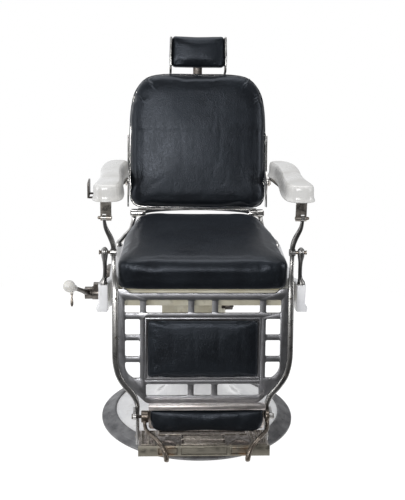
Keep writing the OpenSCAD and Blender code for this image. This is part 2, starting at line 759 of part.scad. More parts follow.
module back_pan() {
    color(NICKEL) in_back() {
        back_slab(cushion_back, pan_back) polygon(grown(back_outline, back_middle, gap + pan_t));
        back_slab(cushion_back - pan_rim, cushion_back) difference() {
            polygon(grown(back_outline, back_middle, gap + pan_t));
            polygon(grown(back_outline, back_middle, gap));
        }
    }
}

module back_cushion() {
    // Rings are drawn flat and then stood up, with the crown towards the sitter
    color(HIDE) in_back() translate([0, cushion_back, 0]) rotate([90, 0, 0])
        padded(back_outline, back_middle, [
            [1, 1, 0], [0, 1, 6], [0.5, 1, back_t / 2], [0, 1, back_t - 12], [3, 1, back_t - 2], [9, 1, back_t + 5],
            [19, 1, back_t + 10], [19, 0.84, back_t + 15], [19, 0.62, back_t + back_crown - 4],
            [19, 0.36, back_t + back_crown - 1], [19, 0.12, back_t + back_crown]]);
}

module back_frame() {
    y0 = rear_at[0];
    u0 = rear_at[1];
    plate_u = -pan_t - gap - 5;
    color(NICKEL) {
        difference() {
            union() {
                both() rod_x(-boss_end, -boss_end + 28, 12.5, rear_pivot_y, pivot_z);
                both() in_back() translate([-boss_end + 1, y0, u0 + 4]) cube([26, 8, plate_u - u0]);
                // Arched cross rail between the bosses, under the pan
                in_back() back_slab(y0 - 4, y0 + 9) polygon(concat(
                    [for (i = [-10:10]) [i * (boss_end - 26) / 10, u0 - 2 + 12 * pow(cos(9 * i), 0.6)]],
                    [[boss_end - 20, plate_u + 3], [-boss_end + 20, plate_u + 3]]));
                in_back() translate([-boss_end + 2, y0 - 5, plate_u])
                    cube([2 * boss_end - 4, pan_back - y0 + 12, 5]);
                both() in_back() translate([112, pan_back, plate_u + 2]) cube([34, 6, back_h - 144]);
            }
            both() rod_x(-boss_end - 1, -boss_end + 26, rear_pin_r + run_fit, rear_pivot_y, pivot_z);
        }
    }
}

module side_strips() {
    color(NICKEL) both() difference() {
        in_back() plate_x(strip_in, strip_in + strip_t) union() {
            polygon([[16, 2], [46, 2], [46, strip_top - 8], [40, strip_top], [30, strip_top], [24, strip_top - 8],
                [24, 130], [16, 108]]);
            polygon([[arm_at[0], arm_at[1] - 12], [20, 40], [30, 40], [30, 140], [20, 120],
                [arm_at[0], arm_at[1] + 12]]);
            translate(arm_at) circle(12);
        }
        rod_x(strip_in - 1, strip_in + strip_t + 1, arm_pin_r + run_fit, rear_pivot_y, arm_pin_z);
    }
}

socket_u = back_h - 124;
module headrest_socket() {
    w = stem_w / 2 + gap;
    color(IRON) in_back() difference() {
        union() {
            translate([-w - 9, pan_back, socket_u]) cube([2 * w + 18, stem_y + stem_t - pan_back + 6, 72]);
            translate([-w - 22, pan_back, socket_u + 8]) cube([2 * w + 44, 6, 56]);
        }
        translate([-w, stem_y - gap, socket_u - 1]) cube([2 * w, stem_t + 2 * gap, 74]);
    }
}

module socket_screws() {
    w = stem_w / 2 + gap + 15.5;
    color(STEEL) in_back() {
        for (x = [-w, w], u = [20, 52]) translate([x, pan_back + 6, socket_u + u])
            rotate([-90, 0, 0]) cylinder(h = 4, r = 5);
        translate([0, stem_y + stem_t + 6, socket_u + 36]) rotate([-90, 0, 0]) {
            cylinder(h = 14, r = 4);
            translate([0, 0, 14]) cylinder(h = 9, r = 12);
        }
    }
}

// ---- Headrest ----

module headrest_stem() {
    color(STEEL) in_back() difference() {
        union() {
            translate([-stem_w / 2, stem_y, socket_u - 90]) cube([stem_w, stem_t, tilt_u - socket_u + 90]);
            rod_x(-stem_w / 2, stem_w / 2, 11, stem_y + stem_t / 2, tilt_u);
        }
        rod_x(-stem_w, stem_w, 5 + run_fit, stem_y + stem_t / 2, tilt_u);
    }
}

head_back = 58;
module headrest_yoke() {
    y = stem_y + stem_t / 2;
    color(STEEL) in_back() {
        translate([-70, head_back - 5, head_pad_u + 14]) cube([140, 5, head_pad_h - 30]);
        for (x = [-stem_w / 2 - 6.4, stem_w / 2 + 0.4]) {
            translate([x, head_back, tilt_u - 11]) cube([6, y - head_back, 22]);
            rod_x(x, x + 6, 11, y, tilt_u);
        }
        rod_x(-stem_w / 2 - 10, stem_w / 2 + 10, 5, y, tilt_u);
        w = head_pad_half + gap + 0.6;
        translate([-w, head_back - 5, head_pad_u + head_pad_h * 0.6 - 20]) cube([2 * w, 5, 24]);
    }
}

module tilt_knob() {
    y = stem_y + stem_t / 2;
    color(NICKEL) in_back() difference() {
        union() {
            rod_x(stem_w / 2 + 6.7, stem_w / 2 + 16, 8, y, tilt_u);
            for (s = [-1, 1]) translate([stem_w / 2 + 12, y - 2, tilt_u + s * 12 - 8]) cube([10, 4, 16]);
        }
        rod_x(stem_w / 2, stem_w / 2 + 11, 5.1, y, tilt_u);
    }
}

head_plan = closed_curve(both_sides([
    [0, 0], [head_pad_half - 34, -0.5], [head_pad_half - 9, 1], [head_pad_half - 1, 8], [head_pad_half, 26],
    [head_pad_half - 1, head_pad_h / 2], [head_pad_half - 1, head_pad_h - 24], [head_pad_half - 2, head_pad_h - 8],
    [head_pad_half - 10, head_pad_h - 1], [head_pad_half - 36, head_pad_h - 0.5], [0, head_pad_h - 2]]), 2);

module headrest_pad() {
    color(HIDE) in_back() translate([0, head_back - 5.2, head_pad_u]) rotate([90, 0, 0])
        padded(head_plan, [0, head_pad_h / 2], [
            [3, 1, 0], [0, 1, 4], [0.8, 1, head_pad_t / 2], [0, 1, head_pad_t - 8], [3, 1, head_pad_t - 1],
            [9, 1, head_pad_t + 3], [9, 0.76, head_pad_t + 7], [9, 0.5, head_pad_t + 9],
            [9, 0.2, head_pad_t + 10]]);
}

module headrest_end_plates() {
    x0 = head_pad_half + gap;
    e = end_plate_t;
    // The plates bow outwards below their middle
    P = curve([
        [x0 + e / 2 - 1, 0, head_pad_h - 2, e / 2 - 1.5, 22], [x0 + e / 2, 0, head_pad_h - 8, e / 2, 25],
        [x0 + e / 2 + 0.6, 0, head_pad_h * 0.6, e / 2, 26], [x0 + e / 2 + 1.6, 0, head_pad_h * 0.3, e / 2, 26],
        [x0 + e / 2 + 0.6, 0, 6, e / 2, 25], [x0 + e / 2 + 0.6, 0, 3, e / 2 - 0.6, 24],
        [x0 + e / 2 + 0.6, 0, 0, e / 2 - 1.5, 22]], 3);
    flip = [for (i = [len(P) - 1:-1:0]) P[i]];
    color(NICKEL) in_back() both() translate([0, head_back - 26, head_pad_u]) bar(flip, 16, 0.6);
}

module paper_rod() {
    x = head_pad_half + gap + end_plate_t / 2 + 1;
    color(STEEL) in_back() {
        both() bar(curve([
            [x, head_back - 28, head_pad_u - 0.4, 4, 3.5], [x, head_back - 28, head_pad_u - 2.4, 4, 3.5],
            [x, head_back - 28, head_pad_u - 4.4, 4, 3.5], [x, head_back - 20, head_pad_u - 13, 4, 3.5],
            [x, head_back + 16, head_pad_u - 20, 4, 3.5], [x, head_back + 34, head_pad_u - 26, 4, 3.5]], 3), 10);
        rod_x(-x - 4, x + 4, paper_rod_d / 2, head_back + 34, head_pad_u - 26);
    }
}

// ---- Arms ----

// Outline of the right arm in its own frame: x from the middle, y from the front end
arm_outline = let (x = arm_x, l = arm_len) closed_curve([
    [x, 0], [x + 26, 3], [x + 40, 18], [x + 41, 46], [x + 34, 92], [x + 29, 145], [x + 29, 210], [x + 32, 275],
    [x + 28, 345], [x + 13, l - 18], [x - 12, l], [x - 38, l - 3], [x - 52, l - 18], [x - 50, l - 45],
    [x - 41, 330], [x - 37, 280], [x - 37, 210], [x - 41, 145], [x - 43, 85], [x - 39, 35], [x - 26, 8]], 2);
arm_spine = [for (p = arm_outline) [arm_x - 4 - 14 * smooth((p[1] - 90) / 240), min(max(p[1], 42), arm_len - 36)]];
function smooth(t) = let (c = min(max(t, 0), 1)) c * c * (3 - 2 * c);

module arm_pad() {
    n = len(arm_outline);
    levels = [
        [arm_lip - 2, 0], [arm_lip, 1.5], [arm_lip, 4], [1.5, 9], [0, 16], [-0.5, arm_h - 14], [-2, arm_h - 6],
        [-5.5, arm_h - 2], [-11, arm_h]];
    loft([for (q = levels) [for (i = [0:n - 1]) let (
        p = arm_outline[i], d = p - arm_spine[i]) concat(p + d / norm(d) * q[0], q[1])]]);
}
module arm_pad_right() { color(ENAMEL) in_arm() arm_pad(); }
module arm_pad_left() { color(ENAMEL) mirror([1, 0, 0]) in_arm() arm_pad(); }

strap_y = front_pivot_y;
module arm_bracket() {
    x0 = arm_x + 5 - strap_w / 2;
    x1 = arm_x + 5 + strap_w / 2;
    notch = 5.5;
    front = arm_front - strap_y - 5;
    difference() {
        union() {
            in_arm() translate([0, 0, -bracket_t]) linear_extrude(bracket_t) polygon([
                [x0, front], [x1, front], [x1, front + 24], [lug_x + bracket_t, arm_front + 110],
                [lug_x + bracket_t, arm_len - 8], [lug_x, arm_len - 8], [lug_x - 6, arm_front + 100],
                [x0, front + 60]]);
            translate([x0, -strap_y - 4, arm_pin_z]) cube([strap_w, 8, arm_z - arm_pin_z - 2]);
            rod_x(x0, x1, 9, -strap_y, arm_pin_z);
            plate_x(lug_x, lug_x + bracket_t) union() {
                translate([rear_pivot_y, arm_pin_z]) circle(11);
                polygon([[110, arm_z - 24], [150, arm_z - 30], [rear_pivot_y - 4, arm_pin_z - 10],
                    [rear_pivot_y + 6, arm_pin_z + 9], [158, arm_z - 16], [110, arm_z - 14]]);
            }
        }
        translate([rail_top_x - notch, -strap_y - 12, arm_pin_z - 12]) cube([2 * notch, 24, 24]);
        rod_x(x0 - 1, x1 + 1, arm_pin_r + 0.02, -strap_y, arm_pin_z);
        rod_x(lug_x - 1, lug_x + bracket_t + 1, arm_pin_r + 0.02, rear_pivot_y, arm_pin_z);
    }
}
module arm_bracket_right() { color(NICKEL) arm_bracket(); }
module arm_bracket_left() { color(NICKEL) mirror([1, 0, 0]) arm_bracket(); }

module arm_pins() {
    x0 = arm_x + 5 - strap_w / 2;
    x1 = arm_x + 5 + strap_w / 2;
    rod_x(x0 - 2, x1 + 2, arm_pin_r, -strap_y, arm_pin_z);
    translate([x1 + 4, -strap_y, arm_pin_z]) sphere(r = 5);
    rod_x(strip_in + 0.5, lug_x + bracket_t + 1, arm_pin_r, rear_pivot_y, arm_pin_z);
    rod_x(lug_x + bracket_t + 1, lug_x + bracket_t + 4, arm_pin_r + 3, rear_pivot_y, arm_pin_z);
}
module arm_pins_right() { color(NICKEL) arm_pins(); }
module arm_pins_left() { color(NICKEL) mirror([1, 0, 0]) arm_pins(); }

loop_y = 62;
loop_len = 76;
module strop_loop() {
    x = arm_x + 56;
    color(STEEL) mirror([1, 0, 0]) in_arm() {
        plate_x(x, x + 5) translate([loop_y + loop_len / 2, 19]) round_rect(loop_len, 46, 6);
        for (y = [loop_y + 4, loop_y + loop_len - 16])
            translate([arm_x + 20, y, -4]) cube([x - arm_x - 19, 12, 4]);
    }
}

// ---- Leg rest ----

strap_a = 5.2;
rail_k = 0.45;
// The flats of a rail stand this share of its half sizes from the centre line
rail_flat = pow(cos(180 / 16), rail_k);
// Front view of a rail's centre line beside and below the panel: [x, s, half width]
bend = rail_x - strap_x;
rail_front = curve([
    [rail_x, 0, rail_a], [rail_x, 70, rail_a], [rail_x, 140, rail_a], [rail_x, 195, rail_a],
    [rail_x - bend * 0.075, 230, rail_a], [rail_x - bend * 0.21, 257, rail_a],
    [rail_x - bend * 0.48, 284, rail_a], [rail_x - bend * 0.78, 307, rail_a - 0.3],
    [strap_x + 5, 326, rail_a - 1.5], [strap_x, 346, 6.5], [strap_x, 372, strap_a], [strap_x, 420, strap_a],
    [strap_x, strap_s, strap_a]], 3);
rail_n = 2 - rail_b;

module leg_rail() {
    y = -front_pivot_y;
    upper = curve([
        [rail_top_x, y, arm_pin_z, 4.6, 6.5], [rail_top_x - 0.5, y, arm_pin_z - 14, 4.8, 6.5],
        [rail_top_x - 5, y, arm_pin_z - 34, 6.2, 6.5], [rail_pivot_x + 8, y + 1, pivot_z + 44, 7.5, 7],
        [rail_pivot_x + 1, y, pivot_z + 22, 7.2, 8], [rail_pivot_x, y, pivot_z, 6.6, 9],
        [rail_pivot_x - 0.5, y - 5, pivot_z - 28, 6, 8.5], [rail_x + 3, y - 18, pivot_z - 60, 6.4, 9],
        [rail_x + 1, y - 33, pivot_z - 84, 8, 10]], 3);
    lower = [for (p = rail_front) concat(leg_point(p[0], rail_n, p[1]), [p[2], p[1] > 340 ? rail_b - 2 : rail_b])];
    path = concat(upper, lower);
    difference() {
        union() {
            bar(path, 16, rail_k);
            rod_x(rail_top_x - 4.7, rail_top_x + 4.7, 8, y, arm_pin_z);
            rod_x(rail_pivot_x - 9, rail_pivot_x + 9, 10.5, y, pivot_z);
            // Ear for the flip pin, outside the strap
            in_leg() plate_x(strap_x + strap_a - 1, strap_x + strap_a + 8) union() {
                translate([-flip_n, -flip_s]) circle(10);
                polygon([[-flip_n, -flip_s + 10], [rail_b - 2, -flip_s + 16], [rail_b - 2, -flip_s - 16],
                    [-flip_n, -flip_s - 10]]);
            }
        }
        rod_x(rail_top_x - 10, rail_top_x + 10, arm_pin_r + open_fit, y, arm_pin_z);
        rod_x(rail_pivot_x - 12, rail_pivot_x + 12, front_pin_r + run_fit, y, pivot_z);
        in_leg() rod_x(strap_x + strap_a - 4, strap_x + strap_a + 10, flip_pin_d / 2 + 0.02, -flip_n, -flip_s);
    }
}
module leg_rail_right() { color(NICKEL) leg_rail(); }
module leg_rail_left() { color(NICKEL) mirror([1, 0, 0]) leg_rail(); }

// Inner edge of a rail in the front view, with the seam left free
function rail_edge(d) = [for (i = [0:len(rail_front) - 1]) let (
    a = rail_front[max(i - 1, 0)], b = rail_front[min(i + 1, len(rail_front) - 1)],
    t = unit([b[0] - a[0], b[1] - a[1]]), p = rail_front[i])
    if (p[1] < 312) let (w = p[2] * rail_flat + d) [p[0] - w * t[1], -(p[1] + w * t[0])]];

// Draws an outline on the panel, from n0 to n1 in front of its face
module leg_slab(n0, n1) {
    translate([0, -n0, 0]) rotate([90, 0, 0]) linear_extrude(n1 - n0) children();
}
module window(x0, x1, s0, s1, r = 5) {
    translate([(x0 + x1) / 2, -(s0 + s1) / 2]) round_rect(x1 - x0, s1 - s0, r);
}
rows = [[77, 126], [141.5, 191.5], [207.5, 257.5]];
win_out = rail_x - rail_a - 20;
win_in = calf_half + 21;
mid_half = 26.5;
long_out = calf_half + 3;
module leg_panel() {
    edge = rail_edge(0.05);
    ear = rail_x - 26.5;
    right = concat(
        [[0, 0], [ear - 22, 0], [ear - 15, 3], [ear - 7, 10], [ear, 13], [rail_x - rail_a - 0.4, 13]], edge,
        [[strap_x - 18, -panel_h + 8], [strap_x - 26, -panel_h + 2], [strap_x - 34, -panel_h], [0, -panel_h]]);
    color(IRON) in_leg() difference() {
        leg_slab(-panel_t, 0) polygon(both_sides(right));
        leg_slab(-panel_t - 1, 1) {
            for (s = [[19, 59.5], [275, 312]]) {
                window(-mid_half, mid_half, s[0], s[1]);
                for (k = [0, 1]) mirror([k, 0]) window(mid_half + bar_w + 1, long_out, s[0], s[1]);
            }
            for (k = [0, 1]) mirror([k, 0]) {
                window(win_in, win_out + 1, 19, 59.5);
                for (r = [rows[0], rows[1]]) window(win_in, win_out, r[0], r[1]);
                intersection() {
                    window(win_in, win_out, rows[2][0], rows[2][1]);
                    translate([win_in, -rows[2][0] - 10]) circle(r = (win_out - win_in), $fn = 96);
                }
            }
        }
        leg_slab(-4, 1) window(-calf_half - 2, calf_half + 2, 78, 257, 3);
        // Shallow chamfered frame line round the windows
        leg_slab(-1, 1) difference() {
            window(-calf_half - 9, calf_half + 9, 71, 264, 4);
            window(-calf_half - 6, calf_half + 6, 74, 261, 4);
        }
    }
}

calf_s = [79.5, 256];
calf_plan = let (h = (calf_s[1] - calf_s[0]) / 2, w = calf_half) closed_curve(both_sides([
    [0, -h], [w * 0.6, -h], [w - 12, -h + 0.5], [w - 1.5, -h + 6], [w, -h + 24], [w, 0], [w, h - 24],
    [w - 1.5, h - 6], [w - 12, h - 0.5], [w * 0.6, h], [0, h]]), 2);
module calf_pad() {
    color(HIDE) in_leg() translate([0, 4 - 0.2, -(calf_s[0] + calf_s[1]) / 2]) rotate([90, 0, 0])
        padded(calf_plan, [0, 0], [
            [1, 1, 0], [0, 1, 2], [0, 1, calf_t - 4], [2, 1, calf_t], [7, 1, calf_t + 3], [16, 1, calf_t + 4.5],
            [16, 0.7, calf_t + 6], [16, 0.35, calf_t + 7], [16, 0.1, calf_t + 7.3]]);
}

module rail_screws() {
    color(STEEL) both() in_leg() for (q = [[rail_x - 1.5, 16], [rail_x - 1.5, 133], [rail_x - 13, 250]])
        translate([q[0], -rail_n - rail_b * rail_flat, -q[1]]) rotate([90, 0, 0]) cylinder(h = 1.8, r = 3.2, $fn = 24);
}

module footplate() {
    w = strap_x - strap_a * rail_flat;
    rear = 22;
    color(NICKEL) in_leg() {
        translate([-w, -plate_reach, -plate_s - deck_t]) cube([2 * w, plate_reach + rear, deck_t]);
        translate([-w - 2, -plate_reach, -plate_s - lip_h]) cube([2 * w + 4, 7, lip_h + 1]);
        for (x = [-w, w - 7]) translate([x, -plate_reach + 6, -plate_s - lip_h + 6])
            cube([7, plate_reach + rear - 6, lip_h - deck_t - 5]);
        translate([-w, rear - 7, -plate_s - lip_h + 6]) cube([2 * w, 7, lip_h - deck_t - 5]);
        for (x = [-90, 0, 90]) translate([x - 3, -plate_reach + 6, -plate_s - deck_t - 9])
            cube([6, plate_reach + rear - 12, 10]);
        translate([-w + 1, (rear - plate_reach) / 2 - 3, -plate_s - deck_t - 9]) cube([2 * w - 2, 6, 10]);
        // Tread ribs across the middle, and a raised arch round each heel
        for (i = [0:7]) translate([-58, -plate_reach + 14 + i * 10, -plate_s - 1]) cube([116, 5, 3]);
        for (s = [-1, 1]) translate([s * 104, -plate_reach + 7, -plate_s - 1]) intersection() {
            difference() {
                cylinder(h = 3.4, r = 33);
                translate([0, 0, -1]) cylinder(h = 6, r = 29);
            }
            translate([-40, 0, -1]) cube([80, 40, 8]);
        }
        for (s = [-1, 1], i = [0:4]) translate([s * 104, -plate_reach + 52 + i * 11, -plate_s - 1])
            cylinder(h = 3.2, r = 12 - i * 1.4);
        for (s = [-1, 1], i = [0:8]) translate([s * 152, -plate_reach + 16 + i * 13, -plate_s - 1])
            cylinder(h = 2.6, r = 4.5);
        for (s = [-1, 1], i = [0:8]) translate([s * 170, -plate_reach + 16 + i * 13, -plate_s - 1])
            cylinder(h = 2.6, r = 4.5);
    }
}

module footplate_bolts() {
    x = strap_x + strap_a * rail_flat;
    color(STEEL) both() in_leg() rod_x(x, x + 4.5, 5, -rail_n, -plate_s - 14);
}

// ---- Flip footrest ----

tray_back = flip_n - 16;
tray_front = tray_back + tray_depth;
tray_top = flip_s - 37;
tray_low = flip_s + 42;

module in_flip() {
    in_leg() translate([flip_shift, 0, 0]) children();
}

module flip_tray() {
    w = flip_half;
    color(NICKEL) in_flip() {
        translate([-w, -tray_front, -tray_top - 3]) cube([2 * w, tray_depth, 3]);
        translate([-w, -tray_front, -tray_top - tray_lip]) cube([2 * w, 3, tray_lip]);
        leg_slab(tray_back, tray_back + 4) translate([0, -(tray_top + tray_low) / 2])
            round_rect(2 * w, tray_low - tray_top, 10);
        for (x = [-w, w - 3]) translate([x, -tray_front, -tray_top - tray_lip])
            cube([3, tray_depth, tray_lip]);
    }
}

flip_plan = let (w = flip_half - 0.5, t = -tray_top - tray_lip - 0.3, l = -flip_s - 46) closed_curve(both_sides([
    [0, l], [w - 50, l], [w - 20, l + 3], [w - 6, l + 14], [w, l + 30], [w, (l + t) / 2 + 6], [w, t - 5], [w - 6, t],
    [w - 50, t], [0, t]]), 2);
module flip_pad() {
    depth = tray_front - tray_back - 4;
    color(HIDE) in_flip() translate([0, -tray_back - 4.2, 0]) rotate([90, 0, 0])
        padded([for (p = flip_plan) p], [0, -(flip_s + 8)], [
            [5, 1, 0], [2, 1, 4], [3.5, 1, depth - 8], [5, 1, depth - 3], [9, 1, depth], [14, 1, depth + 2],
            [14, 0.6, depth + 3.5], [14, 0.2, depth + 4]]);
}

boss_left = 22;
boss_right = 12.5;
module flip_arms() {
    // Each arm starts in a boss on its pin and ends in front of the plate's lip
    ends = flip_half;
    color(NICKEL) difference() {
        union() for (s = [-1, 1]) {
            len = s < 0 ? boss_left : boss_right;
            root = s * (ends + len / 2) + flip_shift;
            tip = s * 118 + 8;
            in_leg() rod_x(min(s * ends, s * (ends + len)) + flip_shift, max(s * ends, s * (ends + len)) + flip_shift,
                18, -flip_n, -flip_s);
            bar(curve([
                concat(leg_point(root, flip_n + 4, flip_s + 4), [5.5, 6]),
                concat(leg_point(root, flip_n + 18, flip_s + 20), [5.8, 6.4]),
                concat(leg_point(root - s * 7, flip_n + 48, flip_s + 30), [6.6, 6.6]),
                concat(leg_point(root - s * 34, flip_n + 88, flip_s + 42), [7, 7]),
                concat(leg_point(tip + s * 9, flip_n + 108, flip_s + 62), [7, 7]),
                concat(leg_point(tip, flip_n + 113, flip_s + 86), [8, 8]),
                concat(leg_point(tip - s, flip_n + 113, flip_s + 97), [7.4, 7.4]),
                concat(leg_point(tip - s, flip_n + 113, flip_s + 100), [5, 5])], 3), 10);
        }
        in_leg() rod_x(-strap_x - 10, strap_x + 10, flip_pin_d / 2 + run_fit, -flip_n, -flip_s);
    }
}

module flip_pins() {
    x = strap_x + strap_a + 8;
    color(STEEL) in_leg() {
        rod_x(-x, -flip_half + flip_shift - 2, flip_pin_d / 2, -flip_n, -flip_s);
        rod_x(flip_half + flip_shift + 2, x, flip_pin_d / 2, -flip_n, -flip_s);
        both() rod_x(x, x + 4, flip_pin_d / 2 + 3, -flip_n, -flip_s);
    }
}

base_plate();
base_ring();
cylinder_tube();  // cylinder
gland_nut();
gland_seal();
base_bolts();
ram();
piston();
piston_cup();
swivel_bearing();
pump_head();
valve_plug();
seat_hub();
seat_frame();
side_frame_left();
side_frame_right();
front_post_left();
front_post_right();
rear_post_left();
rear_post_right();
front_pivot_pins();
rear_pivot_pins();
seat_board();
seat_cushion();
frame_bolts();
lever_bracket();
pump_lever();
lever_ferrule();
lever_knob();
release_trigger();
back_pan();
back_frame();
side_strips();
back_cushion();
headrest_socket();
socket_screws();
headrest_stem();
headrest_yoke();
tilt_knob();
headrest_pad();
headrest_end_plates();
paper_rod();
arm_pad_left();
arm_pad_right();
arm_bracket_left();
arm_bracket_right();
arm_pins_left();
arm_pins_right();
strop_loop();
leg_rail_left();
leg_rail_right();
leg_panel();
calf_pad();
rail_screws();
footplate();
footplate_bolts();
flip_tray();
flip_pad();
flip_arms();
flip_pins();
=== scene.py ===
import json
import math
import random

import bmesh
import bpy
import numpy as np
from mathutils import Matrix, Vector, noise
from mathutils.bvhtree import BVHTree


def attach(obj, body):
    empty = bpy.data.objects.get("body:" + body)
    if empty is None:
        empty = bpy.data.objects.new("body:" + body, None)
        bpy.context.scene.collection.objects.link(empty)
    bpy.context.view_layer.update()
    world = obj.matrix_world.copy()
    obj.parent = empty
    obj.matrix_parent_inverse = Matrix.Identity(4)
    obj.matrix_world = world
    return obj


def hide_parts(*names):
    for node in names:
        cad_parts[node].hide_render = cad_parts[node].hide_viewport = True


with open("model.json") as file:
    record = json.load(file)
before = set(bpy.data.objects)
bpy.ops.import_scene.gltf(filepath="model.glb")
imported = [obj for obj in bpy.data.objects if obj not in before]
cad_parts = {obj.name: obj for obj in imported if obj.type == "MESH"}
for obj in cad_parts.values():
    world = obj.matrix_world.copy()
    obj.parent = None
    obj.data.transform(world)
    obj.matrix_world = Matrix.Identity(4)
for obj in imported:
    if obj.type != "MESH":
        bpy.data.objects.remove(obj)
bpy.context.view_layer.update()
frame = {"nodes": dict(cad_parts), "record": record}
nodes = frame["nodes"]
scene = bpy.context.scene
SEED = 1938
dice = random.Random(SEED)


def turned(degrees, axis):
    return Matrix.Rotation(math.radians(degrees), 4, axis)


def tilted(y, z, degrees):
    return Matrix.Translation((0, y, z)) @ turned(degrees, "X")


# The slanted frames of the back, the leg rest and the arms, as the part has them
IN_BACK = tilted(0.190, 0.669, -12.5)
IN_LEG = tilted(-0.285, 0.536, -9.4)
IN_ARM = tilted(-0.250, 0.804, -2.0)
OUT_OF_BACK = IN_BACK.inverted()
# The way from each cushion to what it rests on
BACK_REAR = IN_BACK.to_3x3() @ Vector((0, 1, 0))
LEG_REAR = IN_LEG.to_3x3() @ Vector((0, 1, 0))
# Turns that point a fastener's top outward at either side, to the front, to the rear and down
OUTWARD = {s: turned(s * 90, "Y") for s in (-1, 1)}
TO_FRONT = turned(90, "X")
TO_REAR = turned(-90, "X")
DOWN = turned(180, "X")
SIDES = ((-1, "left"), (1, "right"))


def mm(*v):
    return Vector([c / 1000 for c in v])


# ---- Finishes ----


def ink(code):
    """A hex sRGB colour as linear RGBA."""
    channels = [int(code[i : i + 2], 16) / 255 for i in (1, 3, 5)]
    return tuple(c / 12.92 if c <= 0.04045 else ((c + 0.055) / 1.055) ** 2.4 for c in channels) + (1.0,)


def per(size):
    """Texture scale for a feature of that size in millimetres."""
    return 1000 / size


def add(mat, kind, inputs=None, **settings):
    """Adds one node, with its settings, its values and the links into it."""
    n = mat.node_tree.nodes.new("ShaderNode" + kind)
    for k, v in settings.items():
        setattr(n, k, v)
    for k, v in (inputs or {}).items():
        if isinstance(v, bpy.types.NodeSocket):
            mat.node_tree.links.new(v, n.inputs[k])
        else:
            n.inputs[k].default_value = v
    return n


def blank(name):
    """An empty material and the object coordinates that its patterns run on."""
    mat = bpy.data.materials.new(name)
    mat.use_nodes = True
    mat.node_tree.nodes.clear()
    return mat, add(mat, "TexCoord").outputs["Object"]


def close(mat, shader):
    add(mat, "OutputMaterial", {"Surface": shader.outputs[0]})
    return mat


def ramp(mat, value, low, high, first=0.0, last=1.0):
    """A mask that goes from the grey first at low to the grey last at high."""
    n = add(mat, "ValToRGB", {"Fac": value})
    for stop, position, shade in zip(n.color_ramp.elements, (low, high), (first, last)):
        stop.position, stop.color = position, (shade, shade, shade, 1.0)
    return n.outputs[0]


def times(mat, a, b):
    return add(mat, "Math", {0: a, 1: b}, operation="MULTIPLY").outputs[0]


def spread(mat, mask, low, high):
    """Turns a mask into a value from low to high."""
    return add(mat, "MapRange", {"Value": mask, "To Min": low, "To Max": high}).outputs[0]


def mottle(mat, where, size, low, high, detail=4.0, stretch=None, distortion=0.0):
    """A soft mask: cloudy patches of that size in millimetres, from black below low to white above high."""
    if stretch:
        where = add(mat, "Mapping", {"Vector": where, "Scale": stretch}).outputs[0]
    cloud = add(mat, "TexNoise", {"Vector": where, "Scale": per(size), "Detail": detail, "Distortion": distortion})
    return ramp(mat, cloud.outputs[0], low, high)


def mixed(mat, mask, a, b):
    return add(mat, "Mix", {0: mask, 6: a, 7: b}, data_type="RGBA").outputs[2]


def leatherette():
    # Calendered vinyl leathercloth over padding: near-black with a slate sheen, a pebbled grain that
    # catches the light as fine speckle, and soft pull creases. The grain is about 1 mm on the real
    # cloth and is drawn at 3 mm, so that it shows from a few steps away.
    mat, at = blank("black_vinyl_leathercloth")
    patch = mottle(mat, at, 90, 0.35, 0.72, 3)
    # rub: pale scuffed patches, which also serve as a painted highlight speckle on the grain
    rub = mottle(mat, at, 7, 0.56, 0.74, 6)
    base = mixed(mat, patch, ink("#090b0e"), ink("#0e1216"))
    base = mixed(mat, times(mat, rub, 0.35), base, ink("#242b31"))
    pebble = add(mat, "TexVoronoi", {"Vector": at, "Scale": per(3.0), "Randomness": 1.0}, feature="F1")
    grain = ramp(mat, pebble.outputs["Distance"], 0.1, 0.75, 1.0, 0.0)
    fine = add(mat, "TexNoise", {"Vector": at, "Scale": per(1.6), "Detail": 3.0}).outputs[0]
    pull = mottle(mat, at, 14, 0.50, 0.60, 5, stretch=(1, 1, 0.35), distortion=0.9)
    rough = spread(mat, patch, 0.33, 0.41)
    a = add(mat, "Bump", {"Height": grain, "Strength": 0.30, "Distance": 0.0009})
    b = add(mat, "Bump", {"Height": fine, "Strength": 0.25, "Distance": 0.0006, "Normal": a.outputs[0]})
    c = add(mat, "Bump", {"Height": pull, "Strength": 0.09, "Distance": 0.0012, "Normal": b.outputs[0]})
    skin = add(mat, "BsdfPrincipled", {"Base Color": base, "Roughness": rough, "Normal": c.outputs[0],
                                       "IOR": 1.50, "Specular IOR Level": 0.5,
                                       "Specular Tint": ink("#ccd6e6"), "Coat Weight": 0.05, "Coat Roughness": 0.3,
                                       "Sheen Weight": 0.06, "Sheen Roughness": 0.4,
                                       "Sheen Tint": ink("#c8d4ea")})
    return close(mat, skin)


def enamel(name, body, shade, chip, roughness, chips=0.74, coat=0.35):
    # Fired porcelain enamel on iron: a thick white glaze with a wet edge highlight, faint cloudy
    # greying, hairline dirt and a few dark chips where it has been knocked.
    mat, at = blank(name)
    cloud = mottle(mat, at, 70, 0.40, 0.70, 3)
    nick = mottle(mat, at, 9, chips, chips + 0.015, 8)
    edge = add(mat, "NewGeometry").outputs["Pointiness"]
    worn = ramp(mat, edge, 0.53, 0.60)
    streak = mottle(mat, at, 24, 0.60, 0.78, 6, stretch=(1, 1, 0.25))
    base = mixed(mat, cloud, ink(body), ink(shade))
    base = mixed(mat, times(mat, streak, 0.30), base, ink("#a8a193"))
    lost = times(mat, worn, nick)
    base = mixed(mat, lost, base, ink(chip))
    rough = spread(mat, cloud, roughness, roughness + 0.12)
    wave = add(mat, "TexNoise", {"Vector": at, "Scale": per(22), "Detail": 2.0}).outputs[0]
    bump = add(mat, "Bump", {"Height": wave, "Strength": 0.10, "Distance": 0.0008})
    glaze = add(mat, "BsdfPrincipled", {"Base Color": base, "Roughness": rough, "Normal": bump.outputs[0],
                                        "IOR": 1.52, "Coat Weight": coat, "Coat Roughness": 0.08})
    return close(mat, glaze)


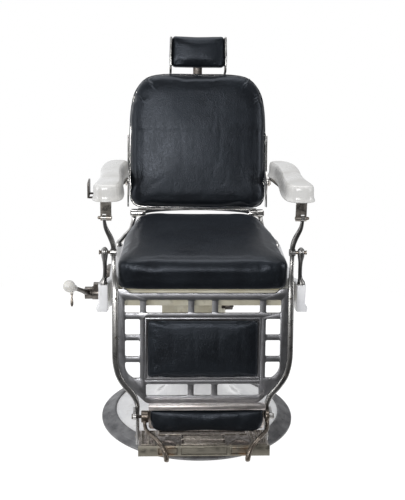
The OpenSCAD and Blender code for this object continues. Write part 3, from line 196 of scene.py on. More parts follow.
def oil_paint(name, body, aged, dirt, roughness):
    # Brushed oil paint on castings: cream that has yellowed, with brush ridges and grime in patches.
    mat, at = blank(name)
    age = mottle(mat, at, 60, 0.35, 0.70, 4)
    grime = mottle(mat, at, 26, 0.58, 0.80, 7)
    base = mixed(mat, age, ink(body), ink(aged))
    base = mixed(mat, times(mat, grime, 0.55), base, ink(dirt))
    brush = add(mat, "TexNoise", {"Vector": add(mat, "Mapping", {"Vector": at, "Scale": (0.1, 1, 1)}).outputs[0],
                                  "Scale": per(3.5), "Detail": 3.0}).outputs[0]
    bump = add(mat, "Bump", {"Height": brush, "Strength": 0.22, "Distance": 0.0006})
    rough = spread(mat, grime, roughness, roughness + 0.2)
    return close(mat, add(mat, "BsdfPrincipled", {"Base Color": base, "Roughness": rough, "Normal": bump.outputs[0],
                                                  "IOR": 1.48}))


def metal(name, bright, dull, stain_and_shade, rough, patch=30, share=0.55, haze=0.16, grit=2.2, relief=0.2, edge="#e4e2de",
          depth=None, brush=None, wear=None):
    """A metal whose plating or skin is bright, dulls in patches of that size, stains in spots, and has painted shade
    with some dirt in its hollows.

    More of it stays bright with a larger share. haze is how much rougher the dull parts are. grit is the size of the
    skin's grain and depth the reach within which a hollow gets that painted shade and dirt, both in millimetres. brush
    stretches the grain, and wear adds a worn place.
    """
    mat, at = blank(name)
    dulled = mottle(mat, at, patch, share - 0.18, share + 0.12, 6)
    spot = mottle(mat, at, patch / 3.2, share + 0.05, share + 0.16, 8, distortion=0.4)
    base = mixed(mat, dulled, ink(bright), ink(dull))
    base = mixed(mat, times(mat, spot, 0.6), base, ink(stain_and_shade))
    if depth:
        # painted shade: hollows within depth are darkened towards the stain colour, partly standing for dirt that
        # collects there
        hollow_shade = add(mat, "AmbientOcclusion", {"Distance": depth / 1000}, samples=8).outputs["AO"]
        dirt = ramp(mat, hollow_shade, 0.25, 0.85, 1.0, 0.0)
        base = mixed(mat, times(mat, dirt, 0.8), base, ink(stain_and_shade))
    if wear:
        base = wear(mat, at, base)
    rim = add(mat, "NewGeometry").outputs["Pointiness"]
    worn = ramp(mat, rim, 0.52, 0.58)
    base = mixed(mat, times(mat, worn, 0.5), base, ink(edge))
    roughness = spread(mat, dulled, rough, rough + haze)
    along = add(mat, "Mapping", {"Vector": at, "Scale": brush}).outputs[0] if brush else at
    skin = add(mat, "TexNoise", {"Vector": along, "Scale": per(grit), "Detail": 4.0}).outputs[0]
    bump = add(mat, "Bump", {"Height": skin, "Strength": relief, "Distance": 0.0005})
    return close(mat, add(mat, "BsdfPrincipled", {"Base Color": base, "Metallic": 1.0, "Roughness": roughness,
                                                  "Normal": bump.outputs[0]}))


def lip_wear(mat, at, base):
    # The footplate's lip has gone olive, and is worn through to its copper underlay where the two prongs rest
    spot = add(mat, "SeparateXYZ", {"Vector": at}).outputs
    lip = add(mat, "MapRange", {"Value": spot["Y"], "From Min": -0.473, "From Max": -0.476}).outputs[0]
    base = mixed(mat, times(mat, lip, 0.86), base, ink("#3a392d"))
    off = add(mat, "Math", {0: add(mat, "Math", {0: spot["X"]}, operation="ABSOLUTE").outputs[0], 1: 0.108},
              operation="SUBTRACT").outputs[0]
    near = add(mat, "MapRange", {"Value": add(mat, "Math", {0: off}, operation="ABSOLUTE").outputs[0],
                                 "From Min": 0.030, "From Max": 0.018}).outputs[0]
    cloud = mottle(mat, at, 22, 0.35, 0.55, 5)
    rub = times(mat, near, lip)
    rub = times(mat, rub, cloud)
    return mixed(mat, times(mat, rub, 0.75), base, ink("#6a4a2c"))


def rubber():
    # Moulded nitrile rubber: flat dark grey with a faint bloom.
    mat, at = blank("nitrile_rubber")
    bloom = mottle(mat, at, 12, 0.4, 0.7)
    base = mixed(mat, bloom, ink("#1b1b1c"), ink("#2c2c2d"))
    return close(mat, add(mat, "BsdfPrincipled", {"Base Color": base, "Roughness": 0.75, "IOR": 1.52}))


def plywood():
    # Birch ply, edge painted cream: long pale grain, with the glue lines showing as thin dark bands.
    mat, at = blank("birch_plywood_cream_edge")
    grain = mottle(mat, at, 14, 0.35, 0.7, 6, stretch=(0.08, 1, 1))
    base = mixed(mat, grain, ink("#d2ccb4"), ink("#b7ae90"))
    plies = add(mat, "TexWave", {"Vector": at, "Scale": per(60), "Distortion": 0.3}, bands_direction="Z").outputs[1]
    line = ramp(mat, plies, 0.0, 0.10, 1.0, 0.0)
    base = mixed(mat, times(mat, line, 0.35), base, ink("#7d7358"))
    bump = add(mat, "Bump", {"Height": grain, "Strength": 0.15, "Distance": 0.0005})
    return close(mat, add(mat, "BsdfPrincipled", {"Base Color": base, "Roughness": 0.6, "Normal": bump.outputs[0]}))


def phenolic():
    # Cast phenolic, turned and polished: milky off-white, slightly yellow in its depth, with handling marks.
    mat, at = blank("cast_phenolic_ivory")
    cloud = mottle(mat, at, 18, 0.4, 0.7)
    base = mixed(mat, cloud, ink("#dcdad6"), ink("#c4c1ba"))
    mark = mottle(mat, at, 5, 0.62, 0.74, 7)
    base = mixed(mat, times(mat, mark, 0.35), base, ink("#96918a"))
    bump = add(mat, "Bump", {"Height": mark, "Strength": 0.15, "Distance": 0.0004})
    return close(mat, add(mat, "BsdfPrincipled", {"Base Color": base, "Roughness": 0.30, "Normal": bump.outputs[0],
                                                  "IOR": 1.6, "Subsurface Weight": 0.05,
                                                  "Subsurface Radius": (0.004, 0.003, 0.002)}))


LEATHER = leatherette()
ENAMEL = enamel("porcelain_enamel_white", "#f0f0f1", "#dddde0", "#3a3533", 0.16)
ARM_ENAMEL = enamel("porcelain_enamel_stone", "#d4d3d1", "#c0beba", "#4a4440", 0.24, 0.76, 0.25)
CREAM = oil_paint("brushed_oil_paint_cream", "#d3cfbf", "#c1baa4", "#857c69", 0.42)
# Sand-cast iron under a silver paint that has gone chalky: matt, gritty, with dark foundry pits
RING = metal("cast_iron_silvered", "#828283", "#666668", "#403e3c", 0.52, 45, 0.55, 0.14, 3.0, 0.45, "#c9c9ca", 9)
# Sand-cast aluminium, buffed once and dulled since: soft grey with brighter rubbed edges
ALUMINIUM = metal("cast_aluminium_buffed", "#919194", "#77777b", "#565353", 0.33, 22, 0.60, 0.12, 2.6, 0.34,
                  "#dcdcde", 7)
# Nickel plate gone satin with years of wiping: an even mid grey that still shows a long soft highlight
SATIN = metal("satin_nickel_plate", "#8b8a88", "#6d6b6a", "#4d4843", 0.27, 24, 0.56, 0.12, 2.2, 0.16, "#dcdbd9", 5)
# Bright nickel plate, still reflective, with a little milky haze
NICKEL = metal("bright_nickel_plate", "#cbc9c6", "#a4a2a0", "#6d6862", 0.15, 26, 0.62, 0.12, 2.0, 0.12, "#efeeec")
# The same plate on a large pressed sheet: broad, faint clouds and few spots
PRESSED = metal("nickelled_pressed_sheet", "#bdbbb8", "#aaa8a4", "#86817b", 0.20, 110, 0.62, 0.10, 2.4, 0.10, "#e6e5e3")
# Nickel plate worn towards its copper underlay: brownish, hazed and spotted
WORN = metal("worn_nickel_plate", "#a79f96", "#7a6f64", "#46392e", 0.24, 16, 0.50, 0.18, 2.2, 0.24, "#d4cfc8", 6)
# The same plate where shoes have scuffed it: olive-grey, with painted shade and dirt in every hollow
TREAD = metal("tarnished_nickel_tread", "#aaa29d", "#7b736e", "#2e251d", 0.34, 14, 0.48, 0.20, 2.4, 0.42, "#b9b3a6", 9,
              wear=lip_wear)
# Folded nickelled sheet rubbed pale, freckled with rust along its edge
STRIP = metal("rubbed_nickel_sheet", "#e6deda", "#c6b7b0", "#7a5a48", 0.28, 11, 0.62, 0.20, 2.4, 0.2, "#f1ecea", 4)
# Bare forgings that have browned where shoes rub them: dark bronze-grey with bright rubbed spots
BROWNED = metal("browned_steel", "#867e76", "#5c544c", "#30271f", 0.26, 15, 0.50, 0.16, 2.2, 0.22, "#b8b2aa", 6)
# Forged steel, oiled and handled: dark brown-grey with rubbed highlights
STEEL = metal("oiled_forged_steel", "#6a6561", "#46413d", "#241f1b", 0.30, 20, 0.52, 0.18, 2.2, 0.25, "#a9a49e", 6)
# Hard chrome, ground round: almost a mirror, with grinding marks round it
CHROME = metal("hard_chrome_ground", "#dcdee0", "#c6c8cb", "#7c7c7e", 0.07, 40, 0.66, 0.06, 1.6, 0.08, "#f2f3f4",
               None, (0.2, 0.2, 1))
# Grey cast iron, machined
IRON = metal("machined_grey_iron", "#7f7f80", "#66666a", "#3a3836", 0.40, 18, 0.5, 0.12, 1.6, 0.2)
# Cast bearing brass, oily
BRASS = metal("bearing_brass", "#c2a05a", "#9c7d45", "#5a4426", 0.28, 16, 0.5, 0.14, 1.8, 0.15, "#e4c98c")
RUBBER = rubber()
PLY = plywood()
PHENOLIC = phenolic()

# ---- Making and finishing pieces ----

FLAT = 0.7  # two triangles within so many degrees of each other are one flat
BODY_OF = {n: b for b, members in frame["record"]["behaviour"]["bodies"].items() for n in members}


def only(obj):
    """Makes obj the one piece that operators act on."""
    bpy.ops.object.select_all(action="DESELECT")
    obj.select_set(True)
    bpy.context.view_layer.objects.active = obj


def modify(obj, kind, **settings):
    only(obj)
    step = obj.modifiers.new(kind.title(), kind)
    for k, v in settings.items():
        setattr(step, k, v)
    bpy.ops.object.modifier_apply(modifier=step.name)


def pick(obj, test):
    """In edit mode, selects the faces for which test(centre, normal) is true."""
    bpy.ops.object.mode_set(mode="EDIT")
    bpy.ops.mesh.select_mode(type="FACE")
    bpy.ops.mesh.select_all(action="DESELECT")
    shape = bmesh.from_edit_mesh(obj.data)
    for f in shape.faces:
        f.select_set(bool(test(f.calc_center_median(), f.normal)))
    bmesh.update_edit_mesh(obj.data)


def joined_copy(node, name):
    """The node's shape as a new piece, with its loose triangles joined."""
    obj = bpy.data.objects.new(name, nodes[node].data.copy())
    obj.data.name = name
    scene.collection.objects.link(obj)
    obj.data.materials.clear()
    only(obj)
    bpy.ops.mesh.customdata_custom_splitnormals_clear()
    bpy.ops.object.mode_set(mode="EDIT")
    bpy.ops.mesh.select_all(action="SELECT")
    bpy.ops.mesh.remove_doubles(threshold=2e-5)
    bpy.ops.object.mode_set(mode="OBJECT")
    return obj


def make_flats_whole(obj):
    """Joins the triangles of each flat face."""
    only(obj)
    bpy.ops.object.mode_set(mode="EDIT")
    bpy.ops.mesh.select_all(action="SELECT")
    bpy.ops.mesh.dissolve_limited(angle_limit=math.radians(FLAT))
    bpy.ops.object.mode_set(mode="OBJECT")


def settle(obj, body, finish, node=None, angle=40):
    """Puts the piece's place in its mesh, gives it its finish and lets it ride on its body."""
    only(obj)
    bpy.ops.object.transform_apply(location=True, rotation=True, scale=True)
    bpy.ops.object.shade_smooth_by_angle(angle=math.radians(angle))
    obj.data.materials.clear()
    obj.data.materials.append(finish)
    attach(obj, body)
    if node:
        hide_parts(node)
    return obj


def ease_edges(obj, width, angle):
    """Bevels the edges that are sharper than the angle."""
    modify(obj, "BEVEL", width=width, segments=2, limit_method="ANGLE", angle_limit=math.radians(angle))


def crisp(node, name, finish, bevel, angle=32, smooth=40, whole=True):
    """A casting, forging or plate: the node's shape with its flats made whole and its edges eased.

    bevel is in millimetres. An edge is eased if it turns by more than angle, and shaded round if by less than smooth.
    """
    obj = joined_copy(node, name)
    if whole:
        make_flats_whole(obj)
    if bevel:
        ease_edges(obj, bevel / 1000, angle)
    settle(obj, BODY_OF[node], finish, node, smooth)


def even_out(obj, rounds):
    modify(obj, "SMOOTH", factor=0.5, iterations=rounds)


def glazed(node, name, finish, voxel=0.002, ease=7):
    """An enamelled shell or a blunt forging: the node's shape with every edge well rounded."""
    obj = joined_copy(node, name)
    modify(obj, "REMESH", mode="VOXEL", voxel_size=voxel, adaptivity=0.0)
    even_out(obj, ease)
    settle(obj, BODY_OF[node], finish, node, 180)


def paint(finish, *names):
    """Gives carried-over solids their finish."""
    for n in names:
        nodes[n].data.materials.clear()
        nodes[n].data.materials.append(finish)


def stamped(pattern, name, places, body, finish, node=None, angle=35):
    """Copies of one modelled fastener, each with its own mesh, turned and moved to their places."""
    for i, place in enumerate(places):
        piece = pattern.copy()
        piece.data = pattern.data.copy()
        piece.name = piece.data.name = f"{name}_{i + 1}"
        scene.collection.objects.link(piece)
        piece.data.transform(place)
        settle(piece, body, finish, node, angle)


def placed(base, x, y, z, turn):
    return base @ Matrix.Translation(mm(x, y, z)) @ turn


# ---- Fasteners, modelled once ----


def screw_head(radius, height):
    """A domed screw head with a driver slot, its seat at the origin and its top along +Z."""
    bpy.ops.mesh.primitive_cylinder_add(vertices=28, radius=radius, depth=height, location=(0, 0, height / 2))
    obj = bpy.context.object
    obj.name = "screw_head"
    pick(obj, lambda c, n: n.z > 0.9)
    bpy.ops.mesh.inset(thickness=radius * 0.22, depth=height * 0.22)
    bpy.ops.mesh.inset(thickness=radius * 0.30, depth=height * 0.12)
    bpy.ops.object.mode_set(mode="OBJECT")
    bpy.ops.mesh.primitive_cube_add(size=1, location=(0, 0, height * 1.45),
                                    scale=(radius * 2.6, radius * 0.30, height * 1.0))
    blade = bpy.context.object
    modify(obj, "BOOLEAN", operation="DIFFERENCE", object=blade, solver="EXACT")
    bpy.data.objects.remove(blade)
    return obj


def hex_head(radius, height):
    """A hexagon head on a round washer face, with its corners turned off."""
    bpy.ops.mesh.primitive_cylinder_add(vertices=32, radius=radius * 1.18, depth=height * 0.22,
                                        location=(0, 0, height * 0.11))
    washer = bpy.context.object
    bpy.ops.mesh.primitive_cylinder_add(vertices=6, radius=radius, depth=height * 0.78,
                                        location=(0, 0, height * 0.61))
    obj = bpy.context.object
    pick(obj, lambda c, n: n.z > 0.9)
    bpy.ops.mesh.inset(thickness=radius * 0.16, depth=height * 0.10)
    bpy.ops.object.mode_set(mode="OBJECT")
    ease_edges(obj, radius * 0.04, 25)
    washer.select_set(True)
    bpy.ops.object.join()
    obj.name = "hex_head"
    return obj


FLUTE = math.pi / 24  # the turn from one face of the thumb screw's grip to the next


def thumb_head(radius, height):
    """A turned thumb screw head with fluted grip."""
    bpy.ops.mesh.primitive_cylinder_add(vertices=48, radius=radius, depth=height, location=(0, 0, height / 2))
    obj = bpy.context.object
    pick(obj, lambda c, n: abs(n.z) < 0.3 and int((math.atan2(c.y, c.x) + 7) / FLUTE) % 2 == 0)
    bpy.ops.mesh.inset(thickness=radius * 0.02, depth=-radius * 0.07, use_individual=True)
    bpy.ops.object.mode_set(mode="OBJECT")
    pick(obj, lambda c, n: n.z > 0.9)
    bpy.ops.mesh.inset(thickness=radius * 0.25, depth=-height * 0.12)
    bpy.ops.object.mode_set(mode="OBJECT")
    return obj


# ---- Stuffed pieces ----


def triples(items, field):
    flat = np.empty(len(items) * 3, np.float32)
    items.foreach_get(field, flat)
    return flat.reshape(-1, 3).astype(float)


def points_of(obj):
    return triples(obj.data.vertices, "co")


def normals_of(obj):
    return triples(obj.data.vertex_normals, "vector")


def move_to(obj, co):
    obj.data.vertices.foreach_set("co", co.astype(np.float32).ravel())
    obj.data.update()


def crease(co, no, line, depth, width):
    """Presses a soft groove, or with a negative depth raises a fold, along a line of points laid on the hide."""
    line = np.array([co[np.argmin(((co - np.array(q)) ** 2).sum(axis=1))] for q in line])
    best = np.full(len(co), 9.0)
    fade = np.ones(len(co))
    total = max(len(line) - 1, 1)
    for i in range(len(line) - 1):
        a, b = line[i], line[i + 1]
        ab = b - a
        t = np.clip(((co - a) @ ab) / max(ab @ ab, 1e-12), 0, 1)
        d = np.linalg.norm(co - (a + t[:, None] * ab), axis=1)
        nearer = d < best
        best = np.where(nearer, d, best)
        along = (i + t) / total
        fade = np.where(nearer, np.minimum(1, 4.5 * np.minimum(along, 1 - along) + 0.12), fade)
    return co - no * (depth * fade * np.exp(-((best / width) ** 2)))[:, None]


HELD_FACING, HELD_DEPTH = 0.7, 0.012  # hide that faces what it rests on, and lies this near to it, is held there
RESTING_FACING = 0.75  # hide that faces it more than this doesn't stand proud of the form
PROUD = 0.0004  # how far the other hide may stand over the form
PRESSURE = 4.0
LAST_FRAME = 20


def blow_up(obj, form, seat_way, cap, slack):
    """Blows the cushion up as cloth, and draws it back to within slack and PROUD of its form."""
    start, rest_way = points_of(obj), np.array(seat_way)
    reach = start @ rest_way
    on_seat = (normals_of(obj) @ rest_way > HELD_FACING) & (reach > reach.max() - HELD_DEPTH)
    held = obj.vertex_groups.new(name="held")
    held.add([int(i) for i in np.nonzero(on_seat)[0]], 1.0, "REPLACE")
    only(obj)
    cloth = obj.modifiers.new("Cloth", "CLOTH")
    s = cloth.settings
    s.quality, s.mass = 5, 0.3
    s.tension_stiffness = s.compression_stiffness = 12
    s.shear_stiffness, s.bending_stiffness = 6, 1.2
    s.use_pressure, s.uniform_pressure_force = True, PRESSURE
    s.effector_weights.gravity = 0
    s.vertex_group_mass = "held"
    cloth.point_cache.frame_start, cloth.point_cache.frame_end = 1, LAST_FRAME
    for f in range(1, LAST_FRAME + 1):
        scene.frame_set(f)
    made = obj.evaluated_get(bpy.context.evaluated_depsgraph_get()).to_mesh()
    step = triples(made.vertices, "co") - start
    size = np.linalg.norm(step, axis=1)
    step *= np.where(size > cap, cap / np.maximum(size, 1e-9), 1.0)[:, None]
    obj.modifiers.remove(cloth)
    obj.vertex_groups.clear()
    scene.frame_set(1)
    co = start + step
    for i, p in enumerate(co):
        near, way, _, _ = form.find_nearest(Vector(p))
        lift = (Vector(p) - near).dot(way)
        co[i] = near + way * min(max(lift, -slack), 0.0 if way.dot(seat_way) > RESTING_FACING else PROUD)
    move_to(obj, co)


def stuffed(node, lines, seat_way, shrink, voxel, cap, ease, calm, unevenness, slack, swell=None):
    """A cushion: the eased form a little smaller, blown up as cloth, drawn tight over its stuffing and creased.

    Lengths are in metres. shrink is how much smaller the form starts, cap how far the cloth may go and slack how far
    the hide may sink. swell(point) is how far the stuffing stands proud of the solid there. ease and calm are the
    rounds of smoothing of the form and of the hide, and seat_way points to what the cushion rests on.
    """
    obj = joined_copy(node, f"{node}_cover")
    modify(obj, "REMESH", mode="VOXEL", voxel_size=voxel, adaptivity=0.0)
    even_out(obj, ease)
    if swell:
        co, no = points_of(obj), normals_of(obj)
        move_to(obj, co + no * np.array([swell(Vector(p)) for p in co])[:, None])
        even_out(obj, 2)
    form = BVHTree.FromPolygons([Vector(p) for p in points_of(obj)], [tuple(f.vertices) for f in obj.data.polygons])
    modify(obj, "DISPLACE", strength=-shrink, mid_level=0.0)
    seat_way = Vector(seat_way)
    blow_up(obj, form, seat_way, cap, slack)
    even_out(obj, calm)
    modify(obj, "SUBSURF", levels=1, render_levels=1)
    co, no = points_of(obj), normals_of(obj)
    wave = np.array([noise.noise(Vector(p) * 14) + 0.5 * noise.noise(Vector(p) * 37) for p in co])
    free = 1 - np.clip(no @ np.array(seat_way), 0, 1)
    co = co - no * (unevenness * (0.6 - wave) * free)[:, None]
    for line, depth, width in lines:
        co = crease(co, no, line, depth, width)
    move_to(obj, co)
    settle(obj, BODY_OF[node], LEATHER, node, 180)


def on_back(x, y, u):
    return IN_BACK @ mm(x, y, u)


def on_leg(x, n, s):
    return IN_LEG @ mm(x, -n, -s)


def wander(a, b, steps, sway):
    """A slightly crooked line of points from a to b."""
    return [a.lerp(b, i / steps) + Vector([dice.uniform(-sway, sway) for _ in range(3)]) for i in range(steps + 1)]


# Each line is its points, its depth and its width.
# Seat: a pull at each front corner, finer ones beside it, and sag lines across the top
seat_lines = []
for s in (-1, 1):
    seat_lines += [
        (wander(mm(s * 228, -262, 626), mm(s * 225, -268, 556), 5, 0.0015), 0.0016, 0.008),
        (wander(mm(s * 240, -252, 612), mm(s * 236, -258, 560), 4, 0.0015), 0.0009, 0.007),
        (wander(mm(s * 228, -262, 632), mm(s * 190, -225, 648), 4, 0.002), 0.0010, 0.009),
        (wander(mm(s * 253, -215, 612), mm(s * 250, -170, 600), 4, 0.002), 0.0010, 0.008),
    ]
for _ in range(6):
    x0, y0 = dice.uniform(-190, 60), dice.uniform(-225, 60)
    end = mm(x0 + dice.uniform(60, 150), y0 + dice.uniform(-18, 18), 655)
    seat_lines.append((wander(mm(x0, y0, 652), end, 6, 0.004), 0.0005, 0.009))
stuffed("seat_cushion", seat_lines, (0, 0, -1), shrink=0.0025, voxel=0.006, cap=0.024, ease=12, calm=8,
        unevenness=0.0006, slack=0.001, swell=lambda p: 0.0 if p.z < 0.556 else 0.0014)

# Back: two sewn pleats at each top corner, and long fine creases down its middle
back_lines = []
for s in (-1, 1):
    for x, u in ((171, 428), (211, 376)):
        out = Vector((x, 0, u - 212)).normalized()
        rim = [on_back(s * (x + out.x * 3), y, u + out.z * 3) for y in (42, 38, 32, 22, 12, 0)]
        face = [on_back(s * (x - out.x * k), -8 - k * 0.12, u - out.z * k) for k in (10, 24, 40)]
        back_lines.append((rim + face, -0.0052, 0.0036))
        side = Vector((-out.z, 0, out.x)) * 7
        for d in (-1, 1):
            shift = IN_BACK.to_3x3() @ Vector((s * side.x * d, 0, side.z * d)) / 1000
            back_lines.append(([p + shift for p in rim + face[:2]], 0.0028, 0.0045))
for _ in range(16):
    x0, u0 = dice.uniform(-150, 150), dice.uniform(90, 330)
    end = on_back(x0 + dice.uniform(-14, 22), -13, u0 - dice.uniform(40, 130))
    back_lines.append((wander(on_back(x0, -13, u0), end, 6, 0.003), 0.00025, 0.006))
for s in (-1, 1):
    for k in range(4):
        start, end = on_back(s * (196 - 9 * k), 0, 36 + 12 * k), on_back(s * (150 - 16 * k), -10, 64 + 16 * k)
        back_lines.append((wander(start, end, 4, 0.002), 0.0003, 0.008))


def back_swell(p):
    """The hide swells over the pan's rim, a little less between the arm strips, and not at all inside the rim."""
    q = OUT_OF_BACK @ p
    if q.y > 0.029:
        return 0.0
    if q.z < 0.262:
        return 0.0044 if q.y < 0.012 and q.z > 0.01 else 0.0030
    return 0.0060


stuffed("back_cushion", back_lines, BACK_REAR, shrink=0.0025, voxel=0.006, cap=0.026, ease=8, calm=10,
        unevenness=0.0006, slack=0.001, swell=back_swell)

# Headrest: gathers that run in from its four corners
head_lines = []
for s in (-1, 1):
    for u0, way in ((474, 1), (562, -1)):
        for k, (dx, du) in enumerate(((20, 16), (34, 10), (12, 28), (26, 22))):
            start, end = on_back(s * (82 - 2 * k), 10, u0), on_back(s * (82 - dx), 4, u0 + way * du)
            head_lines.append((wander(start, end, 4, 0.001), 0.0008 if way > 0 else 0.0004, 0.005))
for k in range(6):
    x0 = -60 + 22 * k + dice.uniform(-4, 4)
    head_lines.append((wander(on_back(x0, 8, 474), on_back(x0 + dice.uniform(-8, 8), 4, 492), 3, 0.001), 0.0004, 0.006))
stuffed("headrest_pad", head_lines, BACK_REAR, shrink=0.0015, voxel=0.004, cap=0.012, ease=2, calm=6,
        unevenness=0.0003, slack=0.0005, swell=lambda p: 0.001 + 0.0034 * min(1, max(0, (abs(p.x) - 0.068) / 0.012)))

# Calf pad: thin and nearly flat in its metal frame
calf_lines = [(wander(on_leg(x, 8, 92), on_leg(x + 6, 8, 240), 6, 0.003), 0.0004, 0.007) for x in (-96, -30, 44, 110)]
stuffed("calf_pad", calf_lines, LEG_REAR, shrink=0.001, voxel=0.004, cap=0.007, ease=2, calm=9,
        unevenness=0.0004, slack=0.0007)

# Flip pad: slack, with long shallow sags where feet have rested
flip_lines = [(wander(on_leg(x, 44, 350), on_leg(x + dice.uniform(-30, 30), 46, 402), 5, 0.003), 0.0005, 0.009)
              for x in (-128, -70, -6, 58, 120, 158)]
stuffed("flip_pad", flip_lines, LEG_REAR, shrink=0.0015, voxel=0.005, cap=0.010, ease=2, calm=6,
        unevenness=0.0007, slack=0.0015)

# ---- Base and ram ----

crisp("base_plate", "base_pedestal", ENAMEL, bevel=0, smooth=45, whole=False)
crisp("base_ring", "base_ring_casting", RING, 0.7, 25, 30)
crisp("gland_nut", "gland_nut_turned", NICKEL, 0.6, 35)
crisp("base_bolts", "base_bolt_set", STEEL, 0.7, 30)
crisp("ram", "ram_ground", CHROME, 0.8, 40)
paint(STEEL, "cylinder")
paint(IRON, "piston")
paint(RUBBER, "gland_seal", "piston_cup")
paint(BRASS, "swivel_bearing")

# ---- Chair frame ----

crisp("pump_head", "pump_head_casting", CREAM, 1.6)
crisp("valve_plug", "valve_plug_turned", STEEL, 0.8, 35)
crisp("seat_hub", "seat_hub_casting", CREAM, 2.0)
crisp("seat_frame", "seat_frame_apron", CREAM, 1.0)
crisp("seat_board", "seat_board_ply", PLY, 1.0)
for side in ("left", "right"):
    crisp(f"side_frame_{side}", f"side_frame_{side}_casting", ENAMEL, 1.2, 24, 45)
    crisp(f"front_post_{side}", f"front_post_{side}_forging", SATIN, bevel=0, smooth=55)
    crisp(f"rear_post_{side}", f"rear_post_{side}_forging", NICKEL, bevel=0, smooth=55)
    crisp(f"leg_rail_{side}", f"leg_rail_{side}_forging", SATIN, bevel=0, smooth=50)
    crisp(f"arm_bracket_{side}", f"arm_bracket_{side}_strap", WORN, 0.9)
    crisp(f"arm_pins_{side}", f"arm_pins_{side}_turned", WORN, 0.5, 45, 50)
    glazed(f"arm_pad_{side}", f"arm_pad_{side}_shell", ARM_ENAMEL)
crisp("front_pivot_pins", "front_pivot_pins_turned", WORN, 0.9, 40)
crisp("rear_pivot_pins", "rear_pivot_pins_turned", STEEL, 0.9, 40)
crisp("strop_loop", "strop_loop_plate", STEEL, 0.9, 35)

bolt = hex_head(radius=0.0078, height=0.0068)
places = [placed(Matrix(), s * 281.6, y + d, 499, OUTWARD[s]) for s in (-1, 1) for y in (-125, 125) for d in (-13, 13)]
stamped(bolt, "frame_bolt_head", places, "chair", NICKEL, "frame_bolts")
bpy.data.objects.remove(bolt)

# ---- Pump lever ----

crisp("lever_bracket", "lever_bracket_casting", STEEL, 1.4)
crisp("pump_lever", "pump_lever_forging", STEEL, 0.8, 50, 50)
crisp("lever_ferrule", "lever_ferrule_sleeve", PHENOLIC, 0.8, 40)
crisp("lever_knob", "lever_knob_ball", PHENOLIC, 0.6, 60, 60)
crisp("release_trigger", "release_trigger_forging", WORN, bevel=0, smooth=60)

# ---- Back and headrest ----


def back_pan_pressing():
    """The pan as a pressing: its rear face gets a raised bead inside its edge."""
    obj = joined_copy("back_pan", "back_pan_pressing")
    make_flats_whole(obj)
    pick(obj, lambda c, n: n.dot(BACK_REAR) > 0.99 and (OUT_OF_BACK @ c).y > 0.055)
    margin, flank, crown, rise = 0.030, 0.0035, 0.004, 0.0022
    for width, step in ((margin, 0.0), (flank, rise), (crown, 0.0), (flank, -rise)):
        bpy.ops.mesh.inset(thickness=width, depth=step)
    bpy.ops.object.mode_set(mode="OBJECT")
    settle(obj, "back", PRESSED, "back_pan", 30)


def back_edge_binding():
    """The hide is drawn over the pan's rim, and above the arm strips over its edge too: a band along the rim."""
    obj = joined_copy("back_pan", "back_edge_binding")
    middle = IN_BACK @ Vector((0, 0.04, 0.21))

    def on_rim(c, n):
        spot = OUT_OF_BACK @ c
        front = n.dot(BACK_REAR) < -0.9 and spot.y < 0.045
        return front or (spot.z > 0.252 and abs(n.dot(BACK_REAR)) < 0.3 and n.dot(c - middle) > 0)

    pick(obj, on_rim)
    bpy.ops.mesh.select_all(action="INVERT")
    bpy.ops.mesh.delete(type="FACE")
    bpy.ops.object.mode_set(mode="OBJECT")
    modify(obj, "SOLIDIFY", thickness=0.0007, offset=1.0)
    ease_edges(obj, 0.0002, 50)
    settle(obj, "back", LEATHER, angle=50)


back_pan_pressing()
back_edge_binding()
crisp("back_frame", "back_frame_forging", NICKEL, 1.0)
crisp("side_strips", "side_strips_plate", NICKEL, 0.9, 35)
crisp("headrest_socket", "headrest_socket_casting", IRON, 1.2)
crisp("headrest_stem", "headrest_stem_bar", STEEL, 0.8, 35)
crisp("headrest_yoke", "headrest_yoke_plate", STEEL, 0.8, 35)
crisp("tilt_knob", "tilt_knob_wing", NICKEL, 1.0)
crisp("headrest_end_plates", "headrest_end_plates_pressed", SATIN, bevel=0, smooth=60)
crisp("paper_rod", "paper_rod_bent", STEEL, bevel=0, smooth=60)

small = screw_head(radius=0.005, height=0.0038)
places = [placed(IN_BACK, x, 62.6, 318 + u, TO_REAR) for x in (-30.8, 30.8) for u in (20, 52)]
stamped(small, "socket_screw_head", places, "back", STEEL, "socket_screws")
places = [placed(IN_BACK, x, 62.7, u, TO_REAR) for x in (-129, 129) for u in (40, 150, 262)]
stamped(small, "pan_screw_head", places, "back", NICKEL)
thumb = thumb_head(radius=0.012, height=0.009)
stamped(thumb, "socket_thumb_screw", [placed(IN_BACK, 0, 93.5, 354, TO_REAR)], "back", NICKEL, "socket_screws", 30)
bpy.data.objects.remove(thumb)
bpy.ops.mesh.primitive_cylinder_add(vertices=24, radius=0.004, depth=0.014, location=(0, 0, 0.007))
shank = bpy.context.object
ease_edges(shank, 0.0005, 40)
stamped(shank, "socket_thumb_shank", [placed(IN_BACK, 0, 79.5, 354, TO_REAR)], "back", STEEL)
bpy.data.objects.remove(shank)

# ---- Arms: the screws that hold each arm on its bracket ----

arm_screws = [(277, 110), (245, 300), (287, 31)]
for s, side in SIDES:
    places = [placed(IN_ARM, s * x, y, -5, DOWN) for x, y in arm_screws]
    stamped(small, f"arm_screw_{side}", places, f"arm_{side}", WORN)

# ---- Leg rest ----

